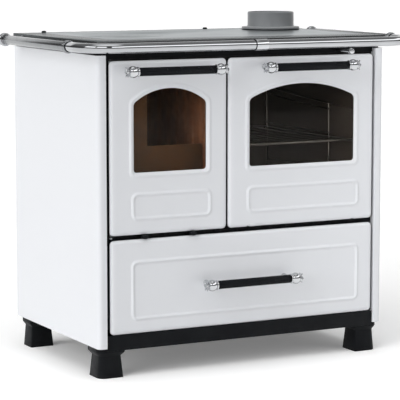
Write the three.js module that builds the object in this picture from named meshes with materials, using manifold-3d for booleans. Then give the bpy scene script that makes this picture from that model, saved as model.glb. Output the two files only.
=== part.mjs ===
// Wood cookstove: a white enamelled cooker with a firebox door on the left, a drop-down
// oven door on the right, a wood drawer below, a steel hob with a flue collar and a
// handrail round the front and sides. Millimetres, +Z up. Inside this file X = 0 is the
// middle of the stove, Y = 0 the faces of the doors (+Y goes to the back) and Z = 0 the
// floor. The finished group is moved along Y so that its origin is the bottom centre.

import * as THREE from 'three';
import { mergeVertices } from 'three/addons/utils/BufferGeometryUtils.js';
import Module from 'manifold-3d';

const wasm = await Module();
wasm.setup();

// ---------------------------------------------------------------- driving dimensions

// cabinet
const cabinetWidth = 844;
const cabinetDepth = 544;
const panelBottom = 79;
const panelTopDrop = 35;
const panelSheet = 2;
const panelCornerRadius = 12;
const panelFlange = 25;
const panelReturn = 23.7;
const backSheet = 2;
const backInset = 10;
const hobHeight = 860;

// fits
const touch = 0.3;
const slotFit = 1;

// front: two doors above, one drawer below
const doorGap = 6;
const middleGap = 5;
const fireDoorWidth = 337;
const doorBottom = 367;
const doorTopDrop = 50;
const drawerBaseGap = 1.5;
const drawerDoorGap = 12;
const trayDepth = 17.5;
const traySkin = 2.5;
const trayWall = 3;
const trayCorner = 9;
const trayEdge = 5;

// windows, and the raised beads pressed round them and into the panels below; a margin
// is what a window or a pad leaves of the face at each side, and a shift how far it sits
// to the right of the middle
const windowRise = 158;
const windowArchRise = 37;
const windowApexDrop = 71;
const windowCorner = 9;
const fireWindowMargin = 64;
const fireWindowShift = 5;
const ovenWindowMargin = 60;
const ovenWindowShift = 1;
const beadWidth = 13;
const beadHeight = 1.8;
const padCorner = 20;
const padRise = 34;
const padHeight = 76;
const firePadMargin = 51.5;
const firePadShift = 9;
const ovenPadMargin = 46;
const ovenPadShift = 5;
const drawerPadMargin = 50;
const drawerPadShift = 9;
const drawerPadRise = 31.5;
const drawerPadDrop = 51;

// door insides
const innerInset = 18;
const innerBack = 14;
const glassThickness = 4;
const glassFront = 4.8;
const glassLap = 8;
const sealWidth = 12;
const sealInset = 4;
const hingeRodRadius = 4;
const hingeRodInset = 9;
const hingeRodBack = 10;
const hingeBore = 0.3;
const lugThickness = 3.5;
const lugHalf = 7;
const ovenLugInset = 60;

// front plate
const frontPlateThickness = 8;
const frontPlateLap = 27;
const openingSide = 39;
const fireOpeningLow = 33;
const fireOpeningHigh = 38;
const ovenOpeningLow = 48;
const ovenOpeningHigh = 45;

// black strips and base
const stripSheet = 2;
const bandFace = 18;
const bandDoorGap = 5;
const bandTuck = 3;
const bandSlotLength = 55;
const bandSlotHeight = 7;
const bandSlotSpread = 84.5;
const bandSlotRise = 11.5;
const ventTuck = 7;
const ventSlotDrop = 6;
const ventSlotLength = 34;
const ventSlotHeight = 5;
const ventPitch = 49;
const skirtFace = 5;
const skirtDrop = 8;
const skirtHeight = 40;

// feet
const footSize = 68;
const footSideInset = 7;
const footCorner = 20;
const footSmallCorner = 4;
const footNeckDrop = 22;
const footNeckInset = 5;
const footFlareDrop = 12;
const footFlare = 3;

// top
const topOverhang = 2;
const topSkin = 6;
const topSkirt = 4;
const topSkirtHeight = 28;
const hobLeftBorder = 74;
const hobFrontBorder = 80;
const hobRightBorder = 20;
const hobBackBorder = 24;
const hobThickness = 8;
const hobLedge = 12;
const hobLedgeHeight = 8;
const ringOuterRadius = 108;
const ringInnerRadius = 60;
const ringStep = 8;
const lidStepDepth = 4;
const ringCentreDepth = 270;
const liftHoleRadius = 7;
const liftHoleDepth = 4;

// flue collar
const collarOuterRadius = 65.5;
const collarWall = 4;
const collarHeight = 50;
const collarFlangeRadius = 82;
const collarFlangeHeight = 6;
const collarSeatDepth = 2;
const collarFromRight = 107;
const collarFromBack = 115;

// handrail
const railRadius = 12.5;
const railDrop = 13.5;
const railSide = 55;
const railFront = 80;
const railBendRadius = 90;
const railFrontRing = 58;
const railRingFromBack = 64;
const ringCollarRadius = 18;
const ringCollarLength = 14;
const sleeveRadius = 15;
const sleeveLength = 36;
const stemRadius = 7;
const stemFlangeRadius = 13;
const stemFlangeHeight = 4;

// handles
const barLength = 216;
const barRadius = 10.2;
const barFlutes = 10;
const barFluteDepth = 0.9;
const handleReach = 50;
const doorHandleDrop = 25;
const drawerHandleDrop = 125.5;

// drawer
const drawerBoxGap = 17;
const drawerBoxBackGap = 64;
const drawerBoxRise = 9.5;
const drawerBoxDrop = 37;
const drawerSheet = 1.5;
const drawerRim = 12;
const runnerHeight = 8;
const runnerBackGap = 39;
const runnerGap = 3;

// firebox
const shellWall = 3;
const shellMargin = 14;
const shellBackGap = 44;
const shellThroatDrop = 30;
const shelfSheet = 2;
const liningThickness = 22;
const liningDrop = 5;
const liningRibs = 9;
const liningRibDepth = 4;
const ledgeRise = 58;
const ledgeThickness = 4;
const ledgeReach = 12;
const grateThickness = 15;
const grateFront = 64;
const grateSlots = 11;
const grateSlotWidth = 10;
const grateBorder = 18;
const guardFront = 50;
const guardThickness = 6;
const guardRise = 63;
const guardCheek = 83;
const ashPanLedgeGap = 9.7;
const ashPanFront = 45;
const ashPanBackGap = 50;
const ashPanSheet = 1.5;
const ashPanSideGap = 7;

// oven
const ovenWall = 1.5;
const ovenBackGap = 64;
const guideWidth = 9;
const guideSheet = 2;
const guideFirst = 75;
const guideSpacing = 85;
const guideCount = 3;
const rackLevel = 1;
const rackRod = 3;
const rackWires = 9;
const rackFrontGap = 12;
const ovenFin = 3;
const ovenFinInset = 40;

// air registers and by-pass damper
const airKnobSpread = 69;
const airKnobRadius = 5;
const airKnobLength = 16;
const airStemRadius = 2.5;
const bypassFromRight = 139;
const bypassRise = 7;
const bypassRodRadius = 3;
const bypassKnobRadius = 8.5;
const bypassKnobReach = 60;
const bypassBladeFromCollar = 99;
const bypassBladeLength = 60;
const bypassBladeWidth = 90;
const bypassBladeThickness = 3;

// ---------------------------------------------------------------- shared places

const halfWidth = cabinetWidth / 2;
const panelTop = hobHeight - panelTopDrop;
const topSkirtBottom = hobHeight - topSkirtHeight;
const railHeight = hobHeight - railDrop;
const skirtBottom = panelBottom - skirtDrop;
const skirtTop = skirtBottom + skirtHeight;
const doorTop = hobHeight - doorTopDrop;
const drawerBottom = skirtTop + drawerBaseGap;
const drawerTop = doorBottom - drawerDoorGap;
const insideWidth = halfWidth - panelSheet - touch;
const frontHalf = halfWidth - panelFlange - doorGap;
const fireDoor = { left: -frontHalf, right: -frontHalf + fireDoorWidth, low: doorBottom, high: doorTop };
const ovenDoor = { left: fireDoor.right + middleGap, right: frontHalf, low: doorBottom, high: doorTop };
const drawerFace = { left: -frontHalf, right: frontHalf, low: drawerBottom, high: drawerTop };
const middleOf = (face) => (face.left + face.right) / 2;

const windowBottom = doorBottom + windowRise;
const windowApex = doorTop - windowApexDrop;
const windowShoulder = windowApex - windowArchRise;
const padBottom = doorBottom + padRise;
const padTop = padBottom + padHeight;
const drawerPadBottom = drawerBottom + drawerPadRise;
const drawerPadTop = drawerTop - drawerPadDrop;
const doorHandleHeight = doorTop - doorHandleDrop;
const drawerHandleHeight = drawerTop - drawerHandleDrop;

const frontPlateBottom = doorBottom - frontPlateLap;
const bandBottom = doorTop + bandDoorGap;
const bandTop = topSkirtBottom + bandTuck;
const ventBottom = drawerTop - ventTuck;
const ventTop = doorBottom - 2 * touch;
const ventSlotMiddle = doorBottom - ventSlotDrop;
const bandSlotMiddle = bandBottom + bandSlotRise;

const plateFront = panelReturn + touch;
const plateBack = plateFront + frontPlateThickness;
const insideFront = plateBack + touch;
const backFace = cabinetDepth - backInset - backSheet;
const insideBack = backFace - touch;
const drawerBoxBack = cabinetDepth - drawerBoxBackGap;
const drawerBoxBottom = drawerBottom + drawerBoxRise;
const drawerBoxTop = drawerTop - drawerBoxDrop;
const runnerBack = cabinetDepth - runnerBackGap;
const fireOpening = {
  left: fireDoor.left + openingSide,
  right: fireDoor.right - openingSide,
  low: doorBottom + fireOpeningLow,
  high: doorTop - fireOpeningHigh,
};
const ovenOpening = {
  left: ovenDoor.left + openingSide,
  right: ovenDoor.right - openingSide,
  low: doorBottom + ovenOpeningLow,
  high: doorTop - ovenOpeningHigh,
};

const shell = {
  left: fireOpening.left - shellMargin,
  right: fireOpening.right + shellMargin,
  low: fireOpening.low - shellWall,
};
const shelfTop = shell.low - touch;
const shellBack = cabinetDepth - shellBackGap;
const shellThroat = doorTop - shellThroatDrop;
const liningTop = shellThroat - liningDrop;
const ledgeHeight = shell.low + ledgeRise;
const guardTop = windowBottom + guardRise;
const ovenBack = cabinetDepth - ovenBackGap;
const lining = {
  left: shell.left + shellWall + touch,
  right: shell.right - shellWall - touch,
  back: shellBack - shellWall - touch,
};
const hearth = {
  left: lining.left + liningThickness + touch,
  right: lining.right - liningThickness - touch,
  back: lining.back - liningThickness - touch,
};
const ledgeTop = ledgeHeight + ledgeThickness;
const fireMiddle = (hearth.left + hearth.right) / 2;

const topHalf = halfWidth + topOverhang;
const topFront = -topOverhang;
const topBack = cabinetDepth + topOverhang;
const hobOpening = {
  left: -topHalf + hobLeftBorder,
  right: topHalf - hobRightBorder,
  front: topFront + hobFrontBorder,
  back: topBack - hobBackBorder,
};
const hobUnderside = hobHeight - hobThickness;
const underTopSkin = hobHeight - topSkin - touch;
const collarX = halfWidth - collarFromRight;
const collarBack = cabinetDepth - collarFromBack;
const bypassX = halfWidth - bypassFromRight;
const bypassHeight = bandBottom + bypassRise;
const bypassBack = collarBack - bypassBladeFromCollar;
const railX = halfWidth + railSide;
const railBackRing = cabinetDepth - railRingFromBack;
const ringX = fireMiddle;

// ---------------------------------------------------------------- materials

const finish = (color, roughness, metalness) =>
  new THREE.MeshStandardMaterial({ color, roughness, metalness });
const enamel = finish(0xe6e8ec, 0.25, 0);
const blackPaint = finish(0x1c1e20, 0.5, 0.1);
const castIron = finish(0x2b2c2e, 0.75, 0.4);
const darkSteel = finish(0x5b5e62, 0.4, 0.8);
const hobSteel = finish(0xa9acb0, 0.35, 0.9);
const chrome = finish(0xd9dbde, 0.12, 1);
const satinChrome = finish(0xb4b7bc, 0.3, 1);
const glassBrown = Object.assign(finish(0x2a1c12, 0.05, 0), { transparent: true, opacity: 0.6 });
const rope = finish(0x3a3a3a, 0.95, 0);
const firebrick = finish(0xb5a489, 0.9, 0);
const zincSheet = finish(0x9a9da0, 0.5, 0.8);
const ovenEnamel = finish(0x25262a, 0.35, 0.1);
const flueSteel = finish(0x6f7479, 0.45, 0.8);

// ---------------------------------------------------------------- solids

function solidOf(geometry) {
  const bare = geometry.clone();
  bare.deleteAttribute('normal');
  bare.deleteAttribute('uv');
  const merged = mergeVertices(bare, 1e-4);
  return new wasm.Manifold(new wasm.Mesh({
    numProp: 3,
    vertProperties: new Float32Array(merged.attributes.position.array),
    triVerts: new Uint32Array(merged.index.array),
  }));
}

function geometryOf(solid) {
  const raw = solid.getMesh();
  const geometry = new THREE.BufferGeometry();
  geometry.setAttribute('position', new THREE.BufferAttribute(new Float32Array(raw.vertProperties), 3));
  geometry.setIndex(new THREE.BufferAttribute(new Uint32Array(raw.triVerts), 1));
  geometry.computeVertexNormals();
  return geometry;
}

function piece(name, solid, material) {
  const mesh = new THREE.Mesh(geometryOf(solid), material);
  mesh.name = name;
  return mesh;
}

function box(x0, x1, y0, y1, z0, z1) {
  const geometry = new THREE.BoxGeometry(x1 - x0, y1 - y0, z1 - z0);
  geometry.translate((x0 + x1) / 2, (y0 + y1) / 2, (z0 + z1) / 2);
  return solidOf(geometry);
}

const join = (solids) => solids.reduce((all, next) => all.add(next));

// A profile of [radius, height] points turned about Z. It starts and ends on the axis,
// or closes on itself where it stays off the axis.
function turned(points, sides = 32) {
  const profile = points.map(([radius, height]) => new THREE.Vector2(radius, height));
  if (points[0][0] > 0) profile.push(profile[0].clone());
  const geometry = new THREE.LatheGeometry(profile, sides);
  geometry.rotateX(Math.PI / 2);
  return outward(geometry);
}

// Turns the faces round where they come out facing inwards.
function outward(geometry) {
  const solid = solidOf(geometry);
  if (solid.volume() > 0) return solid;
  const order = geometry.index.array;
  for (let i = 0; i < order.length; i += 3) {
    [order[i], order[i + 1]] = [order[i + 1], order[i]];
  }
  return solidOf(geometry);
}

const rod = (radius, low, high, sides = 12) =>
  turned([[0, low], [radius, low], [radius, high], [0, high]], sides);

const alongX = (solid) => solid.rotate([0, 90, 0]);
const alongY = (solid) => solid.rotate([-90, 0, 0]);

// A solid skinned over closed rings of points, one after another, and closed flat at
// both ends. Every ring has the same number of points.
function skinned(rings) {
  const count = rings[0].length;
  const faces = [];
  for (let ring = 0; ring + 1 < rings.length; ring += 1) {
    for (let i = 0; i < count; i += 1) {
      const a = ring * count + i;
      const b = ring * count + (i + 1) % count;
      faces.push(a, b, b + count, a, b + count, a + count);
    }
  }
  const last = (rings.length - 1) * count;
  for (let i = 1; i + 1 < count; i += 1) {
    faces.push(0, i + 1, i, last, last + i, last + i + 1);
  }
  const geometry = new THREE.BufferGeometry();
  geometry.setAttribute('position', new THREE.Float32BufferAttribute(rings.flat(2), 3));
  geometry.setIndex(faces);
  return outward(geometry);
}

// Outlines drawn in X and Z, skinned from front to back: [y, outline] pairs.
const slab = (...levels) =>
  skinned(levels.map(([y, outline]) => outline.map(([x, z]) => [x, y, z])));

function arcPoints(x, z, radius, from, to, steps) {
  return Array.from({ length: steps + 1 }, (_, i) => {
    const angle = (from + (to - from) * i / steps) * Math.PI / 180;
    return [x + radius * Math.cos(angle), z + radius * Math.sin(angle)];
  });
}

function roundedRect(left, right, low, high, radius, steps = 4) {
  return [
    ...arcPoints(right - radius, low + radius, radius, -90, 0, steps),
    ...arcPoints(right - radius, high - radius, radius, 0, 90, steps),
    ...arcPoints(left + radius, high - radius, radius, 90, 180, steps),
    ...arcPoints(left + radius, low + radius, radius, 180, 270, steps),
  ];
}

// A window with upright sides under one flat arch, grown outwards by `grow`.
function archedWindow(middle, width, grow) {
  const half = width / 2 + grow;
  const low = windowBottom - grow;
  const high = windowApex + grow;
  const shoulder = windowShoulder + grow / 2;
  const rise = high - shoulder;
  const radius = (half * half + rise * rise) / (2 * rise);
  const spread = Math.asin(half / radius) * 180 / Math.PI;
  const corner = windowCorner + grow / 2;
  return [
    ...arcPoints(middle + half - corner, low + corner, corner, -90, 0, 4),
    ...arcPoints(middle, high - radius, radius, 90 - spread, 90 + spread, 12),
    ...arcPoints(middle - half + corner, low + corner, corner, 180, 270, 4),
  ];
}

// ---------------------------------------------------------------- cabinet

function sidePanel(name, side) {
  const outer = halfWidth;
  const inner = halfWidth - panelSheet;
  const lip = halfWidth - panelFlange;
  const bend = panelCornerRadius;
  const profile = new THREE.Shape();
  profile.moveTo(outer, cabinetDepth);
  profile.lineTo(outer, bend);
  profile.absarc(outer - bend, bend, bend, 0, -Math.PI / 2, true);
  profile.lineTo(lip, 0);
  profile.lineTo(lip, panelReturn);
  profile.lineTo(lip + panelSheet, panelReturn);
  profile.lineTo(lip + panelSheet, panelSheet);
  profile.lineTo(outer - bend, panelSheet);
  profile.absarc(outer - bend, bend, bend - panelSheet, -Math.PI / 2, 0, false);
  profile.lineTo(inner, cabinetDepth);
  const geometry = new THREE.ExtrudeGeometry(profile, {
    depth: panelTop - panelBottom,
    bevelEnabled: false,
    curveSegments: 6,
  });
  geometry.translate(0, 0, panelBottom);
  const panel = solidOf(geometry);
  return piece(name, side < 0 ? panel.mirror([1, 0, 0]) : panel, enamel);
}

function backPanel() {
  const back = cabinetDepth - backInset;
  return piece('back_panel', box(-insideWidth, insideWidth, backFace, back, panelBottom, underTopSkin), zincSheet);
}

function baseRail() {
  const front = halfWidth - panelFlange - touch;
  const floorTop = panelBottom + stripSheet;
  return piece('base_rail', join([
    box(-front, front, skirtFace, skirtFace + stripSheet, skirtBottom, skirtTop),
    box(-front, front, skirtFace, plateFront + slotFit, panelBottom, floorTop),
    box(-insideWidth, insideWidth, plateFront, insideBack, panelBottom, floorTop),
  ]), blackPaint);
}

// A square foot with its outermost corner well rounded: a foot at the front left.
function footOutline(inset) {
  const half = footSize / 2 - inset;
  const big = footCorner - inset;
  const small = footSmallCorner;
  return [
    ...arcPoints(half - small, -half + small, small, -90, 0, 2),
    ...arcPoints(half - small, half - small, small, 0, 90, 2),
    ...arcPoints(-half + small, half - small, small, 90, 180, 2),
    ...arcPoints(-half + big, -half + big, big, 180, 270, 5),
  ];
}

function feet() {
  const levels = [[0, 0], [panelBottom - footNeckDrop, footNeckInset],
    [panelBottom - footFlareDrop, -footFlare], [panelBottom - touch, -footFlare]];
  const solid = skinned(levels.map(([z, inset]) => footOutline(inset).map(([x, y]) => [x, y, z])));
  const x = halfWidth - footSideInset - footSize / 2;
  const front = skirtFace + stripSheet + touch + footFlare + footSize / 2;
  const back = backFace - footSize / 2;
  const places = [
    ['foot_front_left', -x, front, 0],
    ['foot_front_right', x, front, 1],
    ['foot_back_right', x, back, 2],
    ['foot_back_left', -x, back, 3],
  ];
  return places.map(([name, px, py, quarterTurns]) => {
    const foot = piece(name, solid, blackPaint);
    foot.position.set(px, py, 0);
    foot.rotation.z = quarterTurns * Math.PI / 2;
    return foot;
  });
}

// ---------------------------------------------------------------- front plate and strips

const fireRod = { x: fireDoor.left + hingeRodInset, y: hingeRodBack };
const ovenRod = { y: hingeRodBack + touch, z: doorBottom + hingeRodInset + touch };
const ovenLugs = [ovenDoor.left + ovenLugInset, ovenDoor.right - ovenLugInset];
const rodHole = hingeRodRadius + hingeBore;

const hole = (opening) =>
  box(opening.left, opening.right, 0, plateBack + slotFit, opening.low, opening.high);

function frontPlate() {
  let plate = box(-insideWidth, insideWidth, plateFront, plateBack, frontPlateBottom, underTopSkin)
    .subtract(hole(fireOpening))
    .subtract(hole(ovenOpening))
    .subtract(alongY(rod(bypassRodRadius + slotFit, 0, plateBack + slotFit))
      .translate([bypassX, 0, bypassHeight]));
  const lugX = [fireRod.x - lugHalf, fireRod.x + lugHalf];
  const lugLevels = [doorBottom - touch - lugThickness, doorTop + touch];
  for (const low of lugLevels) {
    plate = plate.add(box(...lugX, fireRod.y - lugHalf, plateFront + slotFit, low, low + lugThickness));
  }
  const fireHole = rod(rodHole, doorBottom - 2 * lugHalf, doorTop + 2 * lugHalf)
    .translate([fireRod.x, fireRod.y, 0]);
  for (const x of ovenLugs) {
    const nose = alongX(rod(lugHalf, -lugThickness, lugThickness, 16)).translate([x, ovenRod.y, ovenRod.z]);
    const arm = box(x - lugThickness, x + lugThickness, ovenRod.y, plateFront + slotFit,
      ovenRod.z - lugHalf, ovenRod.z + lugHalf);
    plate = plate.add(nose).add(arm);
  }
  const ovenHole = alongX(rod(rodHole, ovenDoor.left, ovenDoor.right)).translate([0, ovenRod.y, ovenRod.z]);
  return piece('front_plate', plate.subtract(fireHole).subtract(ovenHole), castIron);
}

function topBand() {
  const half = halfWidth - panelFlange - touch;
  const fireX = middleOf(fireDoor);
  let band = join([
    box(-half, half, bandFace, bandFace + stripSheet, bandBottom, bandTop),
    box(-half, half, bandFace, plateFront - touch, bandTop - stripSheet, bandTop),
  ]);
  for (const x of [fireX - bandSlotSpread, fireX + bandSlotSpread]) {
    band = band.subtract(box(x - bandSlotLength / 2, x + bandSlotLength / 2, 0, bandFace + stripSheet + slotFit,
      bandSlotMiddle - bandSlotHeight / 2, bandSlotMiddle + bandSlotHeight / 2));
  }
  const rodGap = alongY(rod(bypassRodRadius + slotFit, 0, bandFace + 2 * stripSheet))
    .translate([bypassX, 0, bypassHeight]);
  return piece('top_band', band.subtract(rodGap), blackPaint);
}

function ventStrip() {
  const half = halfWidth - panelFlange - touch;
  const back = plateFront - touch;
  let strip = join([
    box(-half, half, bandFace, bandFace + stripSheet, ventBottom, ventTop),
    box(-half, half, bandFace, back, ventBottom, ventBottom + stripSheet),
  ]);
  const count = Math.floor((2 * half - ventSlotLength) / ventPitch);
  for (let i = 0; i < count; i += 1) {
    const x = (i - (count - 1) / 2) * ventPitch;
    strip = strip.subtract(box(x - ventSlotLength / 2, x + ventSlotLength / 2, 0,
      bandFace + stripSheet + slotFit, ventSlotMiddle - ventSlotHeight / 2,
      ventSlotMiddle + ventSlotHeight / 2));
  }
  const lugRoom = box(fireRod.x - lugHalf - slotFit, fireRod.x + lugHalf + slotFit, 0, back + slotFit,
    doorBottom - 2 * touch - lugThickness, doorBottom);
  return piece('vent_strip', strip.subtract(lugRoom), blackPaint);
}

function airRegisters() {
  const middle = middleOf(fireDoor);
  return [['air_register_left', -1], ['air_register_right', 1]].map(([name, side]) => {
    const knob = alongY(turned([
      [0, -airKnobLength], [airKnobRadius * 0.7, -airKnobLength], [airKnobRadius, -airKnobLength * 0.8],
      [airKnobRadius, -airKnobLength * 0.4], [airStemRadius, -airKnobLength * 0.25],
      [airStemRadius, 0], [airKnobRadius, 0], [airKnobRadius, stripSheet], [0, stripSheet],
    ], 14)).translate([middle + side * airKnobSpread, bandFace - touch - stripSheet, ventSlotMiddle]);
    return piece(name, knob, blackPaint);
  });
}

function bypassDamper() {
  const bladeFront = bypassBack;
  const parts = join([
    alongY(rod(bypassRodRadius, -bypassKnobReach, bypassBack + stripSheet)),
    solidOf(new THREE.SphereGeometry(bypassKnobRadius, 16, 10)).translate([0, -bypassKnobReach, 0]),
  ]);
  const blade = box(-bypassBladeWidth / 2, bypassBladeWidth / 2, bladeFront, bladeFront + bypassBladeLength,
    -bypassBladeThickness / 2, bypassBladeThickness / 2);
  return piece('bypass_damper', parts.add(blade).translate([bypassX, 0, bypassHeight]), chrome);
}

// ---------------------------------------------------------------- door and drawer fronts

// A pressed tray: a thin front skin with a rounded edge and its rim turned back.
function tray(face) {
  const outline = (inset) => roundedRect(face.left + inset, face.right - inset, face.low + inset,
    face.high - inset, Math.max(trayCorner - inset, trayCorner / 4));
  const outer = slab(
    [0, outline(trayEdge)], [trayEdge * 0.13, outline(trayEdge * 0.5)],
    [trayEdge * 0.5, outline(trayEdge * 0.13)], [trayEdge, outline(0)], [trayDepth, outline(0)],
  );
  return outer.subtract(slab([traySkin, outline(trayWall)], [trayDepth + slotFit, outline(trayWall)]));
}

// A rounded ridge standing out of the skin. `outlineAt` gives its outline moved inwards.
function bead(outlineAt) {
  const w = beadWidth;
  const ridge = slab(
    [-beadHeight, outlineAt(w * 0.38)], [-beadHeight / 2, outlineAt(w * 0.15)],
    [0, outlineAt(0)], [traySkin / 2, outlineAt(0)],
  );
  const inside = slab(
    [-2 * beadHeight, outlineAt(w * 0.62)], [-beadHeight, outlineAt(w * 0.62)],
    [-beadHeight / 2, outlineAt(w * 0.85)], [0, outlineAt(w)],
  );
  return ridge.subtract(inside);
}

const padBead = (middle, width, low, high) => bead((inset) => roundedRect(
  middle - width / 2 + inset, middle + width / 2 - inset, low + inset, high - inset, padCorner - inset,
));

const windowBead = (middle, width) => bead((inset) => archedWindow(middle, width, beadWidth - inset));

function doorPanel(name, face, view, pad, cuts) {
  const hole = [-2 * beadHeight, traySkin + slotFit].map((y) => [y, archedWindow(view.x, view.width, 0)]);
  const panel = join([
    tray(face),
    windowBead(view.x, view.width),
    padBead(pad.x, pad.width, padBottom, padTop),
  ]).subtract(slab(...hole));
  return piece(name, cuts.reduce((solid, next) => solid.subtract(next), panel), enamel);
}

function glassExtent(view) {
  const half = view.width / 2 + glassLap;
  return [view.x - half, view.x + half, windowBottom - glassLap, windowApex + glassLap];
}

function doorInner(name, face, view, cuts) {
  const [left, right, low, high] = glassExtent(view);
  const front = traySkin + touch;
  const glassBack = glassFront + glassThickness + touch;
  const lap = glassLap - 2;
  const inner = box(face.left + innerInset, face.right - innerInset, front, innerBack,
    face.low + innerInset, face.high - innerInset)
    .subtract(box(left - touch, right + touch, 0, glassBack, low - touch, high + touch))
    .subtract(box(left + lap, right - lap, 0, innerBack + slotFit, low + lap, high - lap));
  return piece(name, cuts.reduce((solid, next) => solid.subtract(next), inner), castIron);
}

function doorGlass(name, view) {
  const [left, right, low, high] = glassExtent(view);
  return piece(name, box(left, right, glassFront, glassFront + glassThickness, low, high), glassBrown);
}

function doorSeal(name, face) {
  const edge = innerInset + sealInset;
  const front = innerBack + touch;
  const back = plateFront - touch;
  const ring = (inset, y0, y1) => box(face.left + inset, face.right - inset, y0, y1, face.low + inset, face.high - inset);
  return piece(name, ring(edge, front, back).subtract(ring(edge + sealWidth, front - slotFit, back + slotFit)), rope);
}

// The rod that a door turns on, as long as the door and its lugs need.
function fireHingeRod() {
  const low = doorBottom - touch - 2 * lugThickness;
  const high = doorTop + touch + lugThickness;
  return piece('firebox_hinge_rod', rod(hingeRodRadius, low, high).translate([fireRod.x, fireRod.y, 0]), zincSheet);
}

function ovenHingeRod() {
  const solid = alongX(rod(hingeRodRadius, ovenDoor.left + slotFit, ovenDoor.right - slotFit));
  return piece('oven_hinge_rod', solid.translate([0, ovenRod.y, ovenRod.z]), zincSheet);
}

const fireRodCut = rod(rodHole, doorBottom - slotFit, doorTop + slotFit).translate([fireRod.x, fireRod.y, 0]);
const ovenRodCut = alongX(rod(rodHole, ovenDoor.left - slotFit, ovenDoor.right + slotFit))
  .translate([0, ovenRod.y, ovenRod.z]);
const ovenLugCuts = ovenLugs.map((x) => box(x - lugThickness - slotFit, x + lugThickness + slotFit,
  traySkin, trayDepth + slotFit, doorBottom - slotFit, ovenRod.z + lugHalf + slotFit / 2));

// ---------------------------------------------------------------- handles

function handleBar(name) {
  const shape = new THREE.Shape();
  const points = barFlutes * 2;
  for (let i = 0; i < points; i += 1) {
    const radius = barRadius - (i % 2) * barFluteDepth;
    const angle = 2 * Math.PI * i / points;
    const x = radius * Math.cos(angle);
    const y = radius * Math.sin(angle);
    if (i === 0) shape.moveTo(x, y);
    else shape.lineTo(x, y);
  }
  const geometry = new THREE.ExtrudeGeometry(shape, { depth: barLength, bevelEnabled: false });
  geometry.translate(0, 0, -barLength / 2);
  return piece(name, alongX(solidOf(geometry)), blackPaint);
}

// A turned end: a collar against the bar, a ball that the stand-off leaves from, and a
// small flared tip. Distances run outwards from the end of the bar.
const collarEnd = 5;
const ballCentre = 15.5;
const ballRadius = 14.5;
const tipStart = 25;
const tipEnd = 32;
const neckRadius = 8;
const tipRadius = 10.5;
const standOffRadius = 6.5;
const rosetteRadius = 14;
const rosetteHeight = 5;
const postSides = 12;

function handlePost(name, side) {
  const ball = [50, 75, 100, 125].map((degrees) => {
    const angle = degrees * Math.PI / 180;
    return [ballRadius * Math.sin(angle), ballCentre - ballRadius * Math.cos(angle)];
  });
  const end = turned([
    [0, 0], [barRadius + 1, 0], [barRadius + 2.5, collarEnd / 2], [barRadius + 1, collarEnd - 1],
    ...ball, [neckRadius, tipStart], [tipRadius, tipStart + 2.5], [tipRadius, tipEnd - 2],
    [tipRadius - 3, tipEnd], [0, tipEnd],
  ], postSides);
  const back = handleReach - touch;
  const standOff = alongY(turned([
    [0, 0], [standOffRadius, 0], [standOffRadius, back - 2 * rosetteHeight],
    [rosetteRadius, back - rosetteHeight], [rosetteRadius, back], [0, back],
  ], postSides)).translate([ballCentre, 0, 0]);
  const post = alongX(end).add(standOff);
  return piece(name, side < 0 ? post.mirror([1, 0, 0]) : post, chrome);
}

function handle(prefix, x, z) {
  const group = new THREE.Group();
  group.position.set(x, -handleReach, z);
  const left = handlePost(`${prefix}_handle_post_left`, -1);
  left.position.x = -barLength / 2 - touch;
  const right = handlePost(`${prefix}_handle_post_right`, 1);
  right.position.x = barLength / 2 + touch;
  group.add(handleBar(`${prefix}_handle_bar`), left, right);
  return group;
}

// ---------------------------------------------------------------- drawer

function drawerFront(pad) {
  const raised = padBead(pad.x, pad.width, drawerPadBottom, drawerPadTop);
  return piece('drawer_front', tray(drawerFace).add(raised), enamel);
}

const drawerBoxHalf = frontHalf - drawerBoxGap + doorGap;

function drawerFloor() {
  return piece('drawer_floor', box(-drawerBoxHalf, drawerBoxHalf, traySkin + touch, drawerBoxBack,
    drawerBoxBottom, drawerBoxBottom + drawerSheet), zincSheet);
}

// Four walls on the floor, with a rim along each side that runs on the runners.
function drawerBox() {
  const half = drawerBoxHalf;
  const front = traySkin + touch;
  const t = drawerSheet;
  const low = drawerBoxBottom + drawerSheet + touch;
  const top = drawerBoxTop + drawerSheet;
  return piece('drawer_box', join([
    box(-half, half, front, drawerBoxBack, low, top),
    box(-half - drawerRim, half + drawerRim, plateFront, drawerBoxBack, drawerBoxTop, top),
  ]).subtract(box(-half + t, half - t, front + t, drawerBoxBack - t, low - t, top + t)), zincSheet);
}

function drawerRunner(name, side) {
  const inner = drawerBoxHalf + runnerGap;
  const xs = [side * inner, side * insideWidth].sort((a, b) => a - b);
  const top = drawerBoxTop - touch;
  return piece(name, box(...xs, plateFront, runnerBack, top - runnerHeight, top), zincSheet);
}

// ---------------------------------------------------------------- firebox and oven

function middleShelf() {
  return piece('middle_shelf', box(-insideWidth, insideWidth, insideFront, insideBack,
    shelfTop - shelfSheet, shelfTop), zincSheet);
}

// A box open to the front and the top: an ash room below, a ledge for the grate and the
// lining, and walls round the fire. Its left wall goes up to the top to shut off the side.
function fireboxShell() {
  const { left, right, low } = shell;
  const w = shellWall;
  const ledge = w + liningThickness + ledgeReach;
  const body = box(left, right, insideFront, shellBack, low, shellThroat)
    .subtract(box(left + w, right - w, 0, shellBack - w, low + w, ledgeHeight))
    .subtract(box(left + w, right - w, 0, shellBack - w, ledgeTop, shellThroat + w))
    .subtract(box(left + ledge, right - ledge, grateFront + grateBorder / 2, shellBack - ledge, low + w, shellThroat));
  return piece('firebox_shell', body.add(box(left, left + w, insideFront, shellBack, shellThroat - w, underTopSkin)),
    castIron);
}

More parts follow.
